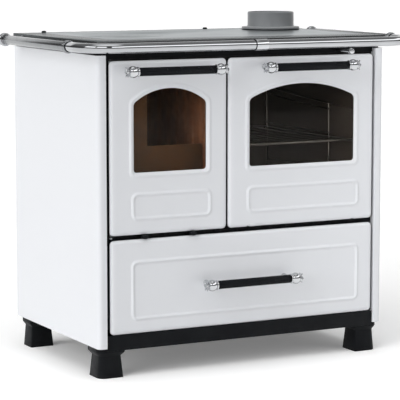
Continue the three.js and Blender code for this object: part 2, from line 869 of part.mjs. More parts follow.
function fireboxLining() {
  const { left, right, back } = lining;
  const low = ledgeTop + touch;
  const front = insideFront + touch;
  let solid = box(left, right, front, back, low, liningTop)
    .subtract(box(hearth.left - touch, hearth.right + touch, 0, hearth.back + touch, low - slotFit,
      liningTop + slotFit));
  const pitch = (hearth.right - hearth.left) / liningRibs;
  for (let i = 0; i < liningRibs; i += 1) {
    const x = hearth.left + (i + 0.5) * pitch;
    solid = solid.subtract(box(x - pitch / 4, x + pitch / 4, hearth.back, hearth.back + touch + liningRibDepth,
      low + grateThickness, liningTop + slotFit));
  }
  return piece('firebox_lining', solid, firebrick);
}

function grate() {
  const { left, right, back } = hearth;
  const low = ledgeTop + touch;
  let solid = box(left, right, grateFront, back, low, low + grateThickness);
  const pitch = (right - left - 2 * grateBorder) / grateSlots;
  for (let i = 0; i < grateSlots; i += 1) {
    const x = left + grateBorder + (i + 0.5) * pitch;
    solid = solid.subtract(box(x - grateSlotWidth / 2, x + grateSlotWidth / 2, grateFront + grateBorder,
      back - grateBorder, low - slotFit, low + grateThickness + slotFit));
  }
  return piece('grate', solid, castIron);
}

// A plate that keeps the logs off the glass, with a cheek up the left of the mouth.
function logGuard() {
  const low = ledgeTop + touch;
  const back = guardFront + guardThickness;
  return piece('log_guard', join([
    box(hearth.left, hearth.right, guardFront, back, low, guardTop),
    box(hearth.left, hearth.left + guardCheek, guardFront, back, low, liningTop),
  ]), castIron);
}

function ashPan() {
  const left = fireOpening.left + ashPanSideGap;
  const right = fireOpening.right - ashPanSideGap;
  const back = shellBack - ashPanBackGap;
  const low = fireOpening.low + touch;
  const high = ledgeHeight - ashPanLedgeGap;
  const t = ashPanSheet;
  return piece('ash_pan', box(left, right, ashPanFront, back, low, high)
    .subtract(box(left + t, right - t, ashPanFront + t, back - t, low + t, high + t)), zincSheet);
}

const guideLevel = (index) => ovenOpening.low + guideFirst + index * guideSpacing;

function ovenBox() {
  const { left, right, low, high } = ovenOpening;
  const w = ovenWall;
  let solid = box(left - w, right + w, insideFront, ovenBack, low - w, high + w)
    .subtract(box(left, right, 0, ovenBack - w, low, high));
  for (let i = 0; i < guideCount; i += 1) {
    const level = guideLevel(i);
    for (const [x0, x1] of [[left - w / 2, left + guideWidth], [right - guideWidth, right + w / 2]]) {
      solid = solid.add(box(x0, x1, insideFront, ovenBack - w / 2, level - guideSheet, level));
    }
  }
  for (const x of [left + ovenFinInset, right - ovenFinInset]) {
    solid = solid.add(box(x - ovenFin / 2, x + ovenFin / 2, insideFront, ovenBack, shelfTop + touch, low - w / 2));
  }
  return piece('oven_box', solid, ovenEnamel);
}

function ovenRack() {
  const left = ovenOpening.left + slotFit + rackRod;
  const right = ovenOpening.right - slotFit - rackRod;
  const front = insideFront + rackFrontGap;
  const back = ovenBack - ovenWall - slotFit - rackRod;
  const z = guideLevel(rackLevel) + touch + rackRod;
  const sides = 8;
  const cross = (y, radius) => alongX(rod(radius, left - radius, right + radius, sides)).translate([0, y, z]);
  const wire = (x, radius) => alongY(rod(radius, front - radius, back + radius, sides)).translate([x, 0, z]);
  const wires = Array.from({ length: rackWires }, (_, i) =>
    wire(left + (i + 1) * (right - left) / (rackWires + 1), rackRod * 0.6));
  return piece('oven_rack', join([
    cross(front, rackRod), cross(back, rackRod), wire(left, rackRod), wire(right, rackRod), ...wires,
  ]), chrome);
}

// ---------------------------------------------------------------- top

function topFrame() {
  const o = hobOpening;
  const skinLow = hobHeight - topSkin;
  const ledgeLow = hobUnderside - touch - hobLedgeHeight;
  const ledgeWide = topSkin;
  const skin = box(-topHalf, topHalf, topFront, topBack, skinLow, hobHeight);
  const skirt = box(-topHalf, topHalf, topFront, topBack, topSkirtBottom, hobHeight)
    .subtract(box(-topHalf + topSkirt, topHalf - topSkirt, topFront + topSkirt, topBack - topSkirt,
      topSkirtBottom - slotFit, hobHeight + slotFit));
  const ledge = box(o.left - ledgeWide, o.right + ledgeWide, o.front - ledgeWide, o.back + ledgeWide,
    ledgeLow, hobHeight);
  const pocket = box(o.left, o.right, o.front, o.back, hobUnderside - touch, hobHeight + slotFit);
  const through = box(o.left + hobLedge, o.right - hobLedge, o.front + hobLedge, o.back - hobLedge,
    ledgeLow - slotFit, hobHeight + slotFit);
  return piece('top_frame', join([skin, skirt, ledge]).subtract(pocket).subtract(through), darkSteel);
}

// A stepped round lid: wide above its step, narrower below it.
const steppedDisc = (outer, step, grow) => join([
  rod(outer + grow, hobHeight - lidStepDepth - grow, hobHeight + grow * 4, 32),
  rod(outer - step + grow, hobUnderside - grow * 4, hobHeight, 32),
]);

function hobPlate() {
  const o = hobOpening;
  const gap = slotFit / 2;
  const plate = box(o.left + gap, o.right - gap, o.front + gap, o.back - gap, hobUnderside, hobHeight)
    .subtract(steppedDisc(ringOuterRadius, ringStep, touch).translate([ringX, ringCentreDepth, 0]))
    .subtract(rod(collarOuterRadius - collarWall, hobUnderside - slotFit, hobHeight + slotFit, 32)
      .translate([collarX, collarBack, 0]))
    .subtract(rod(collarFlangeRadius + touch, hobHeight - collarSeatDepth, hobHeight + slotFit, 32)
      .translate([collarX, collarBack, 0]));
  return piece('hob_plate', plate, hobSteel);
}

function hobRing() {
  const ring = piece('hob_ring', steppedDisc(ringOuterRadius, ringStep, 0)
    .subtract(steppedDisc(ringInnerRadius, ringStep, touch)), castIron);
  ring.position.set(ringX, ringCentreDepth, 0);
  return ring;
}

function hobLid() {
  const lid = piece('hob_lid', steppedDisc(ringInnerRadius, ringStep, 0)
    .subtract(rod(liftHoleRadius, hobHeight - liftHoleDepth, hobHeight + slotFit, 16)
      .translate([0, -ringInnerRadius / 2, 0])), castIron);
  lid.position.set(ringX, ringCentreDepth, 0);
  return lid;
}

// A collar with a flange that sits in a shallow seat turned into the hob.
function flueCollar() {
  const r = collarOuterRadius;
  const bore = r - collarWall;
  const low = -collarSeatDepth;
  const collar = piece('flue_collar', turned([
    [bore, low], [collarFlangeRadius, low], [collarFlangeRadius, collarFlangeHeight],
    [r, collarFlangeHeight], [r, collarHeight - 2], [r - collarWall / 2, collarHeight],
    [bore, collarHeight],
  ]), flueSteel);
  collar.position.set(collarX, collarBack, hobHeight + touch);
  return collar;
}

// ---------------------------------------------------------------- handrail

const sleeveHalf = sleeveLength / 2;
const elbowEnd = railFrontRing - ringCollarLength / 2 - touch;
const railSides = 16;

// The front rail turns the corner: its sections lie across the path at each point.
function frontRail(name, side) {
  const corner = railX - railBendRadius;
  const bend = Array.from({ length: 11 }, (_, i) => i * 9);
  const stops = [
    { x: sleeveHalf + touch, y: -railFront, heading: 0 },
    ...bend.map((heading) => {
      const angle = heading * Math.PI / 180;
      return {
        x: corner + railBendRadius * Math.sin(angle),
        y: railBendRadius * (1 - Math.cos(angle)) - railFront,
        heading,
      };
    }),
    { x: railX, y: elbowEnd, heading: 90 },
  ];
  const rings = stops.map(({ x, y, heading }) => {
    const turn = heading * Math.PI / 180;
    return arcPoints(0, 0, railRadius, 0, 360, railSides).slice(1).map(([across, up]) =>
      [side * (x + across * Math.sin(turn)), y - across * Math.cos(turn), railHeight + up]);
  });
  return piece(name, skinned(rings), chrome);
}

function sideRail(name, side) {
  const tube = alongY(rod(railRadius, railFrontRing + ringCollarLength / 2 + touch,
    railBackRing - ringCollarLength / 2 - touch, railSides));
  return piece(name, tube.translate([side * railX, 0, railHeight]), satinChrome);
}

// A round collar on the rail with a stem to the side of the top frame.
function sideBracket(name, side, y, capped) {
  const half = ringCollarLength / 2;
  const r = ringCollarRadius;
  const profile = [[0, -half], [r - 3, -half], [r, -half / 3], [r, half / 3], [r - 3, half]];
  if (capped) profile.push([r - 7, half + 4]);
  profile.push([0, half + (capped ? 4 : 0)]);
  const reach = railX - topHalf - touch;
  const collar = alongY(turned(profile, railSides));
  const stem = alongX(turned([
    [0, 0], [stemRadius, 0], [stemRadius, reach - stemFlangeHeight],
    [stemFlangeRadius, reach - stemFlangeHeight], [stemFlangeRadius, reach], [0, reach],
  ], postSides));
  const bracket = piece(name, collar.add(side < 0 ? stem : stem.mirror([1, 0, 0])), chrome);
  bracket.position.set(side * railX, y, railHeight);
  return bracket;
}

function centreBracket() {
  const r = sleeveRadius;
  const reach = railFront + topFront - touch;
  const sleeve = alongX(turned([
    [0, -sleeveHalf], [r, -sleeveHalf], [r, sleeveHalf], [0, sleeveHalf],
  ], railSides));
  const stem = alongY(turned([
    [0, 0], [stemRadius, 0], [stemRadius, reach - stemFlangeHeight],
    [stemFlangeRadius, reach - stemFlangeHeight], [stemFlangeRadius, reach], [0, reach],
  ], postSides));
  const bracket = piece('rail_bracket_centre', sleeve.add(stem), chrome);
  bracket.position.set(0, -railFront, railHeight);
  return bracket;
}

// ---------------------------------------------------------------- assembly

function group(...children) {
  const made = new THREE.Group();
  made.add(...children.flat());
  return made;
}

const cabinet = group(
  sidePanel('side_panel_left', -1), sidePanel('side_panel_right', 1), backPanel(), baseRail(), feet(),
  frontPlate(), topBand(), ventStrip(), middleShelf(),
  drawerRunner('drawer_runner_left', -1), drawerRunner('drawer_runner_right', 1),
);

const insides = group(fireboxShell(), fireboxLining(), grate(), logGuard(), ashPan(), ovenBox(), ovenRack());

const top = group(topFrame(), hobPlate(), hobRing(), hobLid(), flueCollar());

const handrail = group(
  frontRail('rail_front_left', -1), frontRail('rail_front_right', 1),
  sideRail('rail_side_left', -1), sideRail('rail_side_right', 1), centreBracket(),
  sideBracket('rail_bracket_front_left', -1, railFrontRing, false),
  sideBracket('rail_bracket_front_right', 1, railFrontRing, false),
  sideBracket('rail_bracket_back_left', -1, railBackRing, true),
  sideBracket('rail_bracket_back_right', 1, railBackRing, true),
);

// where a window or a pad lies on the face of its door or drawer
const placed = (face, margin, shift) => ({
  x: middleOf(face) + shift,
  width: face.right - face.left - 2 * margin,
});
const fireView = placed(fireDoor, fireWindowMargin, fireWindowShift);
const firePad = placed(fireDoor, firePadMargin, firePadShift);
const ovenView = placed(ovenDoor, ovenWindowMargin, ovenWindowShift);
const ovenPad = placed(ovenDoor, ovenPadMargin, ovenPadShift);
const drawerPad = placed(drawerFace, drawerPadMargin, drawerPadShift);

const fireboxDoor = group(
  doorPanel('firebox_door_panel', fireDoor, fireView, firePad, [fireRodCut]),
  doorInner('firebox_door_frame', fireDoor, fireView, []),
  doorGlass('firebox_door_glass', fireView),
  doorSeal('firebox_door_seal', fireDoor),
  fireHingeRod(),
  handle('firebox', middleOf(fireDoor), doorHandleHeight),
);

const ovenDoorGroup = group(
  doorPanel('oven_door_panel', ovenDoor, ovenView, ovenPad, [ovenRodCut, ...ovenLugCuts]),
  doorInner('oven_door_frame', ovenDoor, ovenView, ovenLugCuts),
  doorGlass('oven_door_glass', ovenView),
  doorSeal('oven_door_seal', ovenDoor),
  ovenHingeRod(),
  handle('oven', middleOf(ovenDoor), doorHandleHeight),
);

const drawer = group(
  drawerFront(drawerPad),
  drawerFloor(),
  drawerBox(),
  handle('drawer', middleOf(drawerFace), drawerHandleHeight),
);

const controls = group(airRegisters(), bypassDamper());

const stove = group(cabinet, insides, top, handrail, fireboxDoor, ovenDoorGroup, drawer, controls);
stove.position.y = (railFront + sleeveRadius - topBack) / 2;

export default stove;
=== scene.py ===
from math import atan2, cos, degrees, hypot, pi, radians, sin, sqrt

import bmesh
import bpy
from mathutils import Matrix, Vector
from mathutils.geometry import tessellate_polygon


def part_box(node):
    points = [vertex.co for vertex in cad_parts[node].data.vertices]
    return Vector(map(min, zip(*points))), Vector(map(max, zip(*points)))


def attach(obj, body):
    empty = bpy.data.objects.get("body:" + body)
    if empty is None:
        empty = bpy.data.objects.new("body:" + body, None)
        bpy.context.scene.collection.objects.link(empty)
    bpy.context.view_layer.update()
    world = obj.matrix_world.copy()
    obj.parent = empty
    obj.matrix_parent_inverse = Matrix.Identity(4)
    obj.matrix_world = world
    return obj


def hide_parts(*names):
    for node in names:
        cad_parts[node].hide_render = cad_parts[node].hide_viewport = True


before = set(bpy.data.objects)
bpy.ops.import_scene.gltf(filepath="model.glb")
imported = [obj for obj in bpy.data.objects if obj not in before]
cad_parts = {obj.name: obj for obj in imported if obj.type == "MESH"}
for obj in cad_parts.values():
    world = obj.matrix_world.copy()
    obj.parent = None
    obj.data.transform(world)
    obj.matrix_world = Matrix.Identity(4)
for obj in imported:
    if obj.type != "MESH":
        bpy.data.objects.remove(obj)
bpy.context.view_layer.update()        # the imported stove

scene = bpy.context.scene
MM = 0.001

# ----- driving values

# the photograph's view
CAMERA_PLACE = (-2.46934, -4.74028, 1.10419)
CAMERA_PITCH = 7.3753
CAMERA_TURN = -27.3625
CAMERA_LENS = 178.9
SENSOR_WIDTH = 36

# light
KEY_AZIMUTH = 67.5
KEY_HEIGHT = 21
KEY_SPREAD = 45
KEY_LEVEL = 2.0
TOP_SPREAD = 70
TOP_LEVEL = 1.75
TOP_FROM = (-0.15, -0.1, 1)
FILL_PLACE = (1.15, -1.25, 0.8)
FILL_AIM = (0.2, -0.2, 0.5)
FILL_SIZE = 1.0
FILL_LEVEL = 4.4
AMBIENT = 0.10
FLOOR_GLOW = 0.17
FLOOR_TONE = 0.80
FLOOR_REACH = 200

# the studio that polished metal mirrors, as (sine of the height, level) stops: a dark room before
# the stove, a white backdrop behind it, a soft box overhead, and a row of soft boxes in the room
ROOM_LEVELS = ((0.0, 0.9), (0.05, 0.08), (0.34, 0.08), (0.70, 0.20), (0.90, 0.26), (0.96, 1.3))
BACKDROP_LEVELS = ((0.0, 1.0), (0.40, 1.0), (0.56, 0.32), (0.90, 0.30), (0.96, 1.3))
BOX_ROW = ((0.35, 0), (0.39, 1), (0.64, 1), (0.68, 0))
BOX_LEVEL = 2.1
# where these stand, in degrees from straight ahead of the stove, positive to its right; the soft
# edge of each is a share of the full circle
BACKDROP_SECTORS = ((102, 200),)
BOX_SECTORS = ((-97, -63), (-57.5, -29), (-11.5, 92))
SECTOR_EDGE = 0.004

# pressed door and drawer fronts; LEFT_TRIM is the dark line left of the firebox door and drawer
EDGE_ROUND = 12 * MM
EDGE_DEPTH = 7 * MM
LEFT_TRIM = 4 * MM
FACE_CORNER = 11 * MM
LEAST_CORNER = 1.5 * MM
FLAT_MARGIN = 2 * MM
RIM_WALL = 3 * MM
SKIN = 2.5 * MM
BEAD_WIDTH = 14 * MM
BEAD_HEIGHT = 1.8 * MM
BEAD_RISE = 2.9 * MM
PAD_CORNER = 20 * MM
GLASS_LAP = 8 * MM
WINDOW_ARCH_RISE = 37 * MM
WINDOW_CORNER = 9 * MM
WINDOW_SHOULDER = 16 * MM
WINDOW_LIP = 4.4 * MM
# how far the edge of a window lies outside its outline, and how far behind the face
WINDOW_EDGE = (
    (-0.6 * MM, 0.5 * MM), (-0.8 * MM, 1.2 * MM), (-0.8 * MM, WINDOW_LIP),
    (1.5 * MM, WINDOW_LIP), (1.5 * MM, SKIN),
)
DOOR_PAD_RISE = 34 * MM
DOOR_PAD_HEIGHT = 76 * MM
FIRE_PAD_MARGIN = 51.5 * MM
FIRE_PAD_SHIFT = 9 * MM
OVEN_PAD_MARGIN = 46 * MM
OVEN_PAD_SHIFT = 5 * MM
DRAWER_PAD_MARGIN = 50 * MM
DRAWER_PAD_SHIFT = 9 * MM
DRAWER_PAD_RISE = 31.5 * MM
DRAWER_PAD_DROP = 51 * MM

# the lugs of the oven door's hinge
LUG_INSET = 60 * MM
LUG_WIDTH = 8.6 * MM
LUG_ROOM = 7.6 * MM
CUT_MARGIN = 1 * MM

# side panels
PANEL_CORNER = 12 * MM
PANEL_EDGE = 0.7 * MM
PANEL_SHEET = 2 * MM
PANEL_FLANGE = 25 * MM
PANEL_RETURN = 23.7 * MM

# handrail
RAIL_RADIUS = 12.5 * MM
RAIL_BEND = 90 * MM
RAIL_EDGE = 0.5 * MM
BACK_RING_RADIUS = 18 * MM
FRONT_RING_RADIUS = 16.6 * MM
RING_LENGTH = 14 * MM
RING_CAP_RADIUS = 13.5 * MM
RING_CAP_SINK = 1 * MM
RING_CAP_BULGE = 5 * MM
SLEEVE_RADIUS = 14.2 * MM
SLEEVE_EDGE = 0.8 * MM
SLEEVE_SEAM_RADIUS = 14.5 * MM
RING_SEAM_RADIUS = 14.1 * MM
SEAM_INNER_RADIUS = 11.5 * MM
SEAM_LENGTH = 1.5 * MM
SEAM_EDGE = 0.3 * MM
STEM_RADIUS = 7 * MM
STEM_FOOT_RADIUS = 9.5 * MM
CENTRE_FOOT_RADIUS = 8.5 * MM
STEM_FOOT_HEIGHT = 4 * MM

# what butts against another piece stops this far from it
GAP = 0.3 * MM

# bevelled pieces are shaded smooth, apart from edges steeper than this, in degrees
SMOOTH_LIMIT = 30

# handles: distances along an end run outwards from the end of the bar
BAR_RADIUS = 10.2 * MM
BAR_TURN = 1 * MM
BAR_FLUTES = 18
BAR_FLUTE_DEPTH = 1.2 * MM
BALL_CENTRE = 15.5 * MM
BALL_RADIUS = 15 * MM
WAIST_PLACE = 26.5 * MM
WAIST_RADIUS = 7.6 * MM
CROWN_END = 32 * MM
CROWN_RADIUS = 12.2 * MM
CROWN_FLARE = 1.6
CROWN_LOBES = 6
CROWN_LOBE_DEPTH = 0.22
STAND_OFF_RADIUS = 4.5 * MM
STAND_OFF_SHIFT = 8 * MM
ROSETTE_RADIUS = 7 * MM
ROSETTE_HEIGHT = 5 * MM

# flue collar: its heights run up from the foot of the black ring under its flange, a ring that is painted
# shade for the shadow beneath the flange
FLUE_RADIUS = 65.5 * MM
FLUE_BORE = 61.5 * MM
FLUE_LIP = 2 * MM
PAINTED_SHADE_RING_EDGE = 0.6 * MM
FLANGE_LOW = 4.2 * MM
FLANGE_HIGH = 10.2 * MM

# knobs and plugs
BYPASS_BALL = 8.5 * MM
BYPASS_ROD = 3 * MM
BLADE_LENGTH = 60 * MM
BLADE_CORNER = 6 * MM
BLADE_HALF = 1.5 * MM
BLADE_LAP = 2 * MM
AIR_KNOB_RADIUS = 5 * MM
AIR_KNOB_PROUD = 8 * MM
AIR_KNOB_OVAL = 1.8
AIR_GRIP_LENGTH = 15.5 * MM
AIR_STEM_RADIUS = 2.5 * MM
AIR_PLATE = 2 * MM
PLUG_RADIUS = 6.5 * MM
PLUG_HEIGHT = 5 * MM
PLUG_INSET = 16 * MM
PLUG_PLACES = (("left", -340 * MM), ("right", 157 * MM))

# door seals; each strand takes the place of the next in SEAL_LAY steps
SEAL_WIDTH = 12 * MM
SEAL_CORNER = 12 * MM
SEAL_STEP = 4 * MM
SEAL_FILL = 0.9
SEAL_STRANDS = 3
SEAL_STRAND_DEPTH = 0.11
SEAL_LAY = 5

# bricks, and the oven's wire ladders, whose rungs are measured from the foot of the rack
BRICK_WALL = 22 * MM
BRICK_GROOVE = 4 * MM
SIDE_RIBS = 10
BACK_RIBS = 7
LADDER_INSET = 13.5 * MM
LADDER_WIRE = 1.6 * MM
LADDER_FRONT = 125 * MM
LADDER_BACK = 30 * MM
LADDER_OVERHANG = 6 * MM
LADDER_RUNGS = (-60 * MM, 3 * MM, 15 * MM, 73 * MM, 88 * MM)

# the sides of the stove
HAND = {-1: "left", 1: "right"}


# ----- finishes

class Tree:
    """The nodes and links of a node tree."""

    def __init__(self, tree):
        self.nodes = tree.nodes
        self.links = tree.links

    def add(self, kind, **settings):
        node = self.nodes.new(kind)
        for key, value in settings.items():
            setattr(node, key, value)
        return node

    def pattern(self, kind, place, output, **inputs):
        """An output of a node that is fed with a place or a direction."""
        node = self.add(kind)
        for name, value in inputs.items():
            node.inputs[name].default_value = value
        self.links.new(place, node.inputs["Vector"])
        return node.outputs[output]

    def ramp(self, factor, stops):
        """A colour ramp from (position, colour) stops; a plain number stands for a grey."""
        ramp = self.add("ShaderNodeValToRGB")
        elements = ramp.color_ramp.elements
        while len(elements) < len(stops):
            elements.new(0.5)
        for element, (position, colour) in zip(elements, stops):
            element.position = position
            rgb = colour if isinstance(colour, tuple) else (colour,) * 3
            element.color = (*rgb, 1)
        self.links.new(factor, ramp.inputs["Fac"])
        return ramp.outputs["Color"]

    def mix(self, factor, one, other):
        """From `one` to `other`; either is an output or a plain level."""
        mix = self.add("ShaderNodeMix", data_type="RGBA")
        self.links.new(factor, mix.inputs["Factor"])
        for socket, source in (("A", one), ("B", other)):
            if isinstance(source, (int, float)):
                mix.inputs[socket].default_value = (source, source, source, 1)
            else:
                self.links.new(source, mix.inputs[socket])
        return mix.outputs["Result"]

    def seen_by(self, *kinds):
        """1 for rays of the named kinds and 0 for the others."""
        rays = self.add("ShaderNodeLightPath")
        total = rays.outputs[f"Is {kinds[0]} Ray"]
        for kind in kinds[1:]:
            either = self.add("ShaderNodeMath", operation="MAXIMUM")
            self.links.new(total, either.inputs[0])
            self.links.new(rays.outputs[f"Is {kind} Ray"], either.inputs[1])
            total = either.outputs[0]
        return total


class Finish(Tree):
    """A node-based material with one Principled shader, in object coordinates."""

    def __init__(self, name, **sockets):
        self.name = name
        self.material = bpy.data.materials.new(name)
        self.material.use_nodes = True
        super().__init__(self.material.node_tree)
        self.shader = self.nodes["Principled BSDF"]
        self.place = self.add("ShaderNodeTexCoord").outputs["Object"]
        for socket, value in sockets.items():
            self.shader.inputs[socket.replace("_", " ")].default_value = value

    def noise(self, scale, detail=3.0, stretch=(1, 1, 1)):
        """Noise; an axis with a large stretch has a finer pattern along it than the others."""
        place = self.pattern("ShaderNodeMapping", self.place, "Vector", Scale=stretch)
        return self.pattern("ShaderNodeTexNoise", place, "Fac", Scale=scale, Detail=detail)

    def tones(self, low, high, *noise):
        """From one tone to the other over the middle of a noise, where most of it lies."""
        return self.ramp(self.noise(*noise), [(0.3, low), (0.7, high)])

    def cells(self, scale):
        return self.pattern("ShaderNodeTexVoronoi", self.place, "Color", Scale=scale)

    def multiply(self, one, other):
        mix = self.add("ShaderNodeMix", data_type="RGBA", blend_type="MULTIPLY")
        mix.inputs["Factor"].default_value = 1.0
        self.links.new(one, mix.inputs["A"])
        self.links.new(other, mix.inputs["B"])
        return mix.outputs["Result"]

    def colour(self, output):
        self.links.new(output, self.shader.inputs["Base Color"])

    def roughness(self, output):
        self.links.new(output, self.shader.inputs["Roughness"])

    def bump(self, height, distance):
        """Bump from a height and the distance in metres that it stands for."""
        bump = self.add("ShaderNodeBump")
        bump.inputs["Distance"].default_value = distance
        self.links.new(height, bump.inputs["Height"])
        self.links.new(bump.outputs["Normal"], self.shader.inputs["Normal"])
        return self


def enamel():
    """White vitreous enamel: glossy, with a faint orange peel and a faint cloudiness."""
    f = Finish("white_enamel", IOR=1.5, Coat_Weight=0.25, Coat_Roughness=0.08)
    f.colour(f.ramp(f.noise(2.0, 1), [(0.2, (0.778, 0.793, 0.824)), (0.8, (0.788, 0.803, 0.832))]))
    f.roughness(f.ramp(f.noise(8, 1), [(0.2, 0.28), (0.8, 0.31)]))
    return f.bump(f.noise(160, 1), 0.00002)


def black_paint():
    """Dull black paint with a fine grain."""
    f = Finish("black_paint", IOR=1.45, Specular_IOR_Level=0.12)
    f.colour(f.tones((0.0045, 0.0052, 0.0065), (0.008, 0.009, 0.0105), 25))
    f.roughness(f.tones(0.38, 0.5, 60))
    return f.bump(f.noise(1400, 2), 0.00006)


def handle_black():
    """Smooth black lacquer for the ribbed handles."""
    f = Finish("handle_black", IOR=1.5, Specular_IOR_Level=0.11)
    f.colour(f.tones((0.0035, 0.0043, 0.0062), (0.0055, 0.0066, 0.0088), 25))
    f.roughness(f.tones(0.20, 0.28, 60))
    return f.bump(f.noise(900, 2), 0.00002)


def cast_iron():
    """Blackened cast iron: rough, pitted and uneven in tone."""
    f = Finish("cast_iron", Metallic=0.35)
    f.colour(f.tones((0.012, 0.012, 0.013), (0.035, 0.034, 0.034), 40, 6))
    f.roughness(f.tones(0.55, 0.8, 90))
    return f.bump(f.noise(500, 4), 0.00025)


def scorched_iron():
    """Cast iron browned by heat."""
    f = Finish("scorched_iron", IOR=1.3)
    rust = f.tones((0.050, 0.027, 0.011), (0.085, 0.045, 0.019), 45, 6)
    f.colour(f.multiply(rust, f.tones(0.8, 1.0, 8, 4)))
    f.roughness(f.tones(0.7, 0.9, 90))
    return f.bump(f.noise(500, 4), 0.0002)


def cold(level):
    """A grey with a trace of blue."""
    return level * 0.94, level * 0.98, level


def ground_steel(name, dark, light, rough, streaks, edge=1.0):
    """Ground steel: long streaks, with a fine grain along them, under faint smudges.

    `edge` is how much it mirrors where it is seen nearly edge on.
    """
    f = Finish(name, Metallic=0.85, Specular_Tint=(*cold(edge), 1))
    lines = f.ramp(f.noise(60, 4, streaks), [(0.25, cold(dark)), (0.75, cold(light))])
    smudges = f.tones(0.92, 1.0, 3.5, 2)
    f.colour(f.multiply(lines, smudges))
    f.roughness(f.tones(rough - 0.02, rough + 0.03, 5, 2))
    return f.bump(f.noise(220, 2, streaks), 0.000008)


def chrome(name, dark, light):
    """Polished chrome with a faint haze."""
    f = Finish(name, Metallic=1.0)
    f.colour(f.tones(dark, light, 12, 3))
    f.roughness(f.ramp(f.noise(45, 5), [(0.35, 0.04), (0.7, 0.08)]))
    return f.bump(f.noise(500, 2), 0.000004)


def satin_steel():
    """Satin tube: brushed round, softer than the chrome."""
    f = Finish("satin_steel", Metallic=1.0)
    f.colour(f.tones((0.28, 0.29, 0.30), (0.33, 0.34, 0.35), 30, 3, (1, 9, 1)))
    f.roughness(f.tones(0.20, 0.25, 20, 4))
    return f.bump(f.noise(240, 2, (1, 9, 1)), 0.000003)


def glass():
    """Heat-proof glass with a faint brown tone; the light of the lamps goes straight through."""
    f = Finish("glass", Transmission_Weight=1.0, IOR=1.14)
    f.colour(f.tones((0.80, 0.73, 0.67), (0.86, 0.79, 0.73), 6, 3))
    f.roughness(f.ramp(f.noise(9, 4), [(0.4, 0.0), (0.8, 0.02)]))
    clear = f.add("ShaderNodeBsdfTransparent")
    clear.inputs["Color"].default_value = (0.84, 0.77, 0.71, 1)
    mix = f.add("ShaderNodeMixShader")
    f.links.new(f.seen_by("Shadow"), mix.inputs["Fac"])
    f.links.new(f.shader.outputs["BSDF"], mix.inputs[1])
    f.links.new(clear.outputs["BSDF"], mix.inputs[2])
    f.links.new(mix.outputs["Shader"], f.nodes["Material Output"].inputs["Surface"])
    return f


def seal_rope():
    """Glass-fibre door rope, grey with soot."""
    f = Finish("seal_rope", Sheen_Weight=0.3)
    f.colour(f.tones((0.035, 0.034, 0.032), (0.11, 0.105, 0.10), 180, 4))
    f.roughness(f.tones(0.85, 1.0, 200))
    return f.bump(f.noise(900, 3), 0.0004)


def firebrick():
    """Fired clay, browned by smoke."""
    f = Finish("firebrick")
    soot = f.tones((0.55, 0.42, 0.34), (1.0, 1.0, 1.0), 9, 5)
    clay = f.tones((0.17, 0.080, 0.040), (0.28, 0.14, 0.075), 70, 6)
    f.colour(f.multiply(clay, soot))
    f.roughness(f.tones(0.85, 1.0, 80))
    return f.bump(f.noise(350, 5), 0.0005)


def zinc_sheet():
    """Zinc-coated sheet with its spangle."""
    f = Finish("zinc_sheet", Metallic=0.9)
    grain = f.ramp(f.cells(70), [(0.0, (0.36, 0.375, 0.39)), (1.0, (0.52, 0.535, 0.55))])
    f.colour(f.multiply(grain, f.tones(0.85, 1.0, 6, 4)))
    f.roughness(f.ramp(f.cells(70), [(0.0, 0.36), (1.0, 0.52)]))
    return f.bump(f.noise(300, 2), 0.00003)


def oven_enamel():
    """Black oven enamel with fine pale speckles."""
    f = Finish("oven_enamel", IOR=1.5)
    f.colour(f.ramp(f.noise(900, 1), [(0.64, (0.045, 0.041, 0.038)), (0.74, (0.16, 0.155, 0.15))]))
    f.roughness(f.tones(0.28, 0.42, 30))
    return f.bump(f.noise(260, 2), 0.00006)


def flue_steel():
    """Grey stove paint on steel: matt, with a soft sheen and a thin smooth coat."""
    f = Finish("flue_steel", Coat_Weight=0.3, Coat_Roughness=0.15,
               Sheen_Weight=0.8, Sheen_Roughness=0.35)
    f.colour(f.tones((0.162, 0.170, 0.177), (0.186, 0.195, 0.202), 20, 4))
    f.roughness(f.tones(0.62, 0.70, 50, 4))
    return f.bump(f.noise(800, 3), 0.00004)


FINISHES = {finish.name: finish.material for finish in (
    enamel(), black_paint(), handle_black(), cast_iron(), scorched_iron(),
    ground_steel("dark_steel_wire", 0.10, 0.16, 0.35, (1, 9, 9)),
    ground_steel("dark_steel", 0.13, 0.20, 0.24, (9, 1, 9), 0.42),
    ground_steel("hob_steel", 0.29, 0.35, 0.32, (1, 7, 7)),
    ground_steel("hob_iron", 0.28, 0.34, 0.34, (6, 1, 6)),
    flue_steel(),
    chrome("chrome", (0.46, 0.47, 0.485), (0.52, 0.53, 0.545)),
    chrome("bright_chrome", (0.56, 0.57, 0.585), (0.62, 0.63, 0.645)),
    satin_steel(), glass(), seal_rope(), firebrick(), zinc_sheet(), oven_enamel(),
)}


# ----- mesh building

def shown(name, data):
    """A new object in the scene."""
    obj = bpy.data.objects.new(name, data)
    scene.collection.objects.link(obj)
    return obj


def arc(x, z, radius, start, end, steps):
    """Points on an arc from start to end degrees, both ends included."""
    angles = (radians(start + (end - start) * i / steps) for i in range(steps + 1))
    return [(x + radius * cos(a), z + radius * sin(a)) for a in angles]


def bow(radius, centre, angles, core=0):
    """Profile points round a ball, or a ridge on a core, from the degrees off the axis."""
    turns = [radians(a) for a in angles]
    return [(core + radius * sin(a), centre - radius * cos(a)) for a in turns]


def rounded_rectangle(left, right, low, high, radius, steps=8):
    corners = ((right - radius, low + radius), (right - radius, high - radius),
               (left + radius, high - radius), (left + radius, low + radius))
    return [point for turn, (x, z) in enumerate(corners)
            for point in arc(x, z, radius, 90 * turn - 90, 90 * turn, steps)]


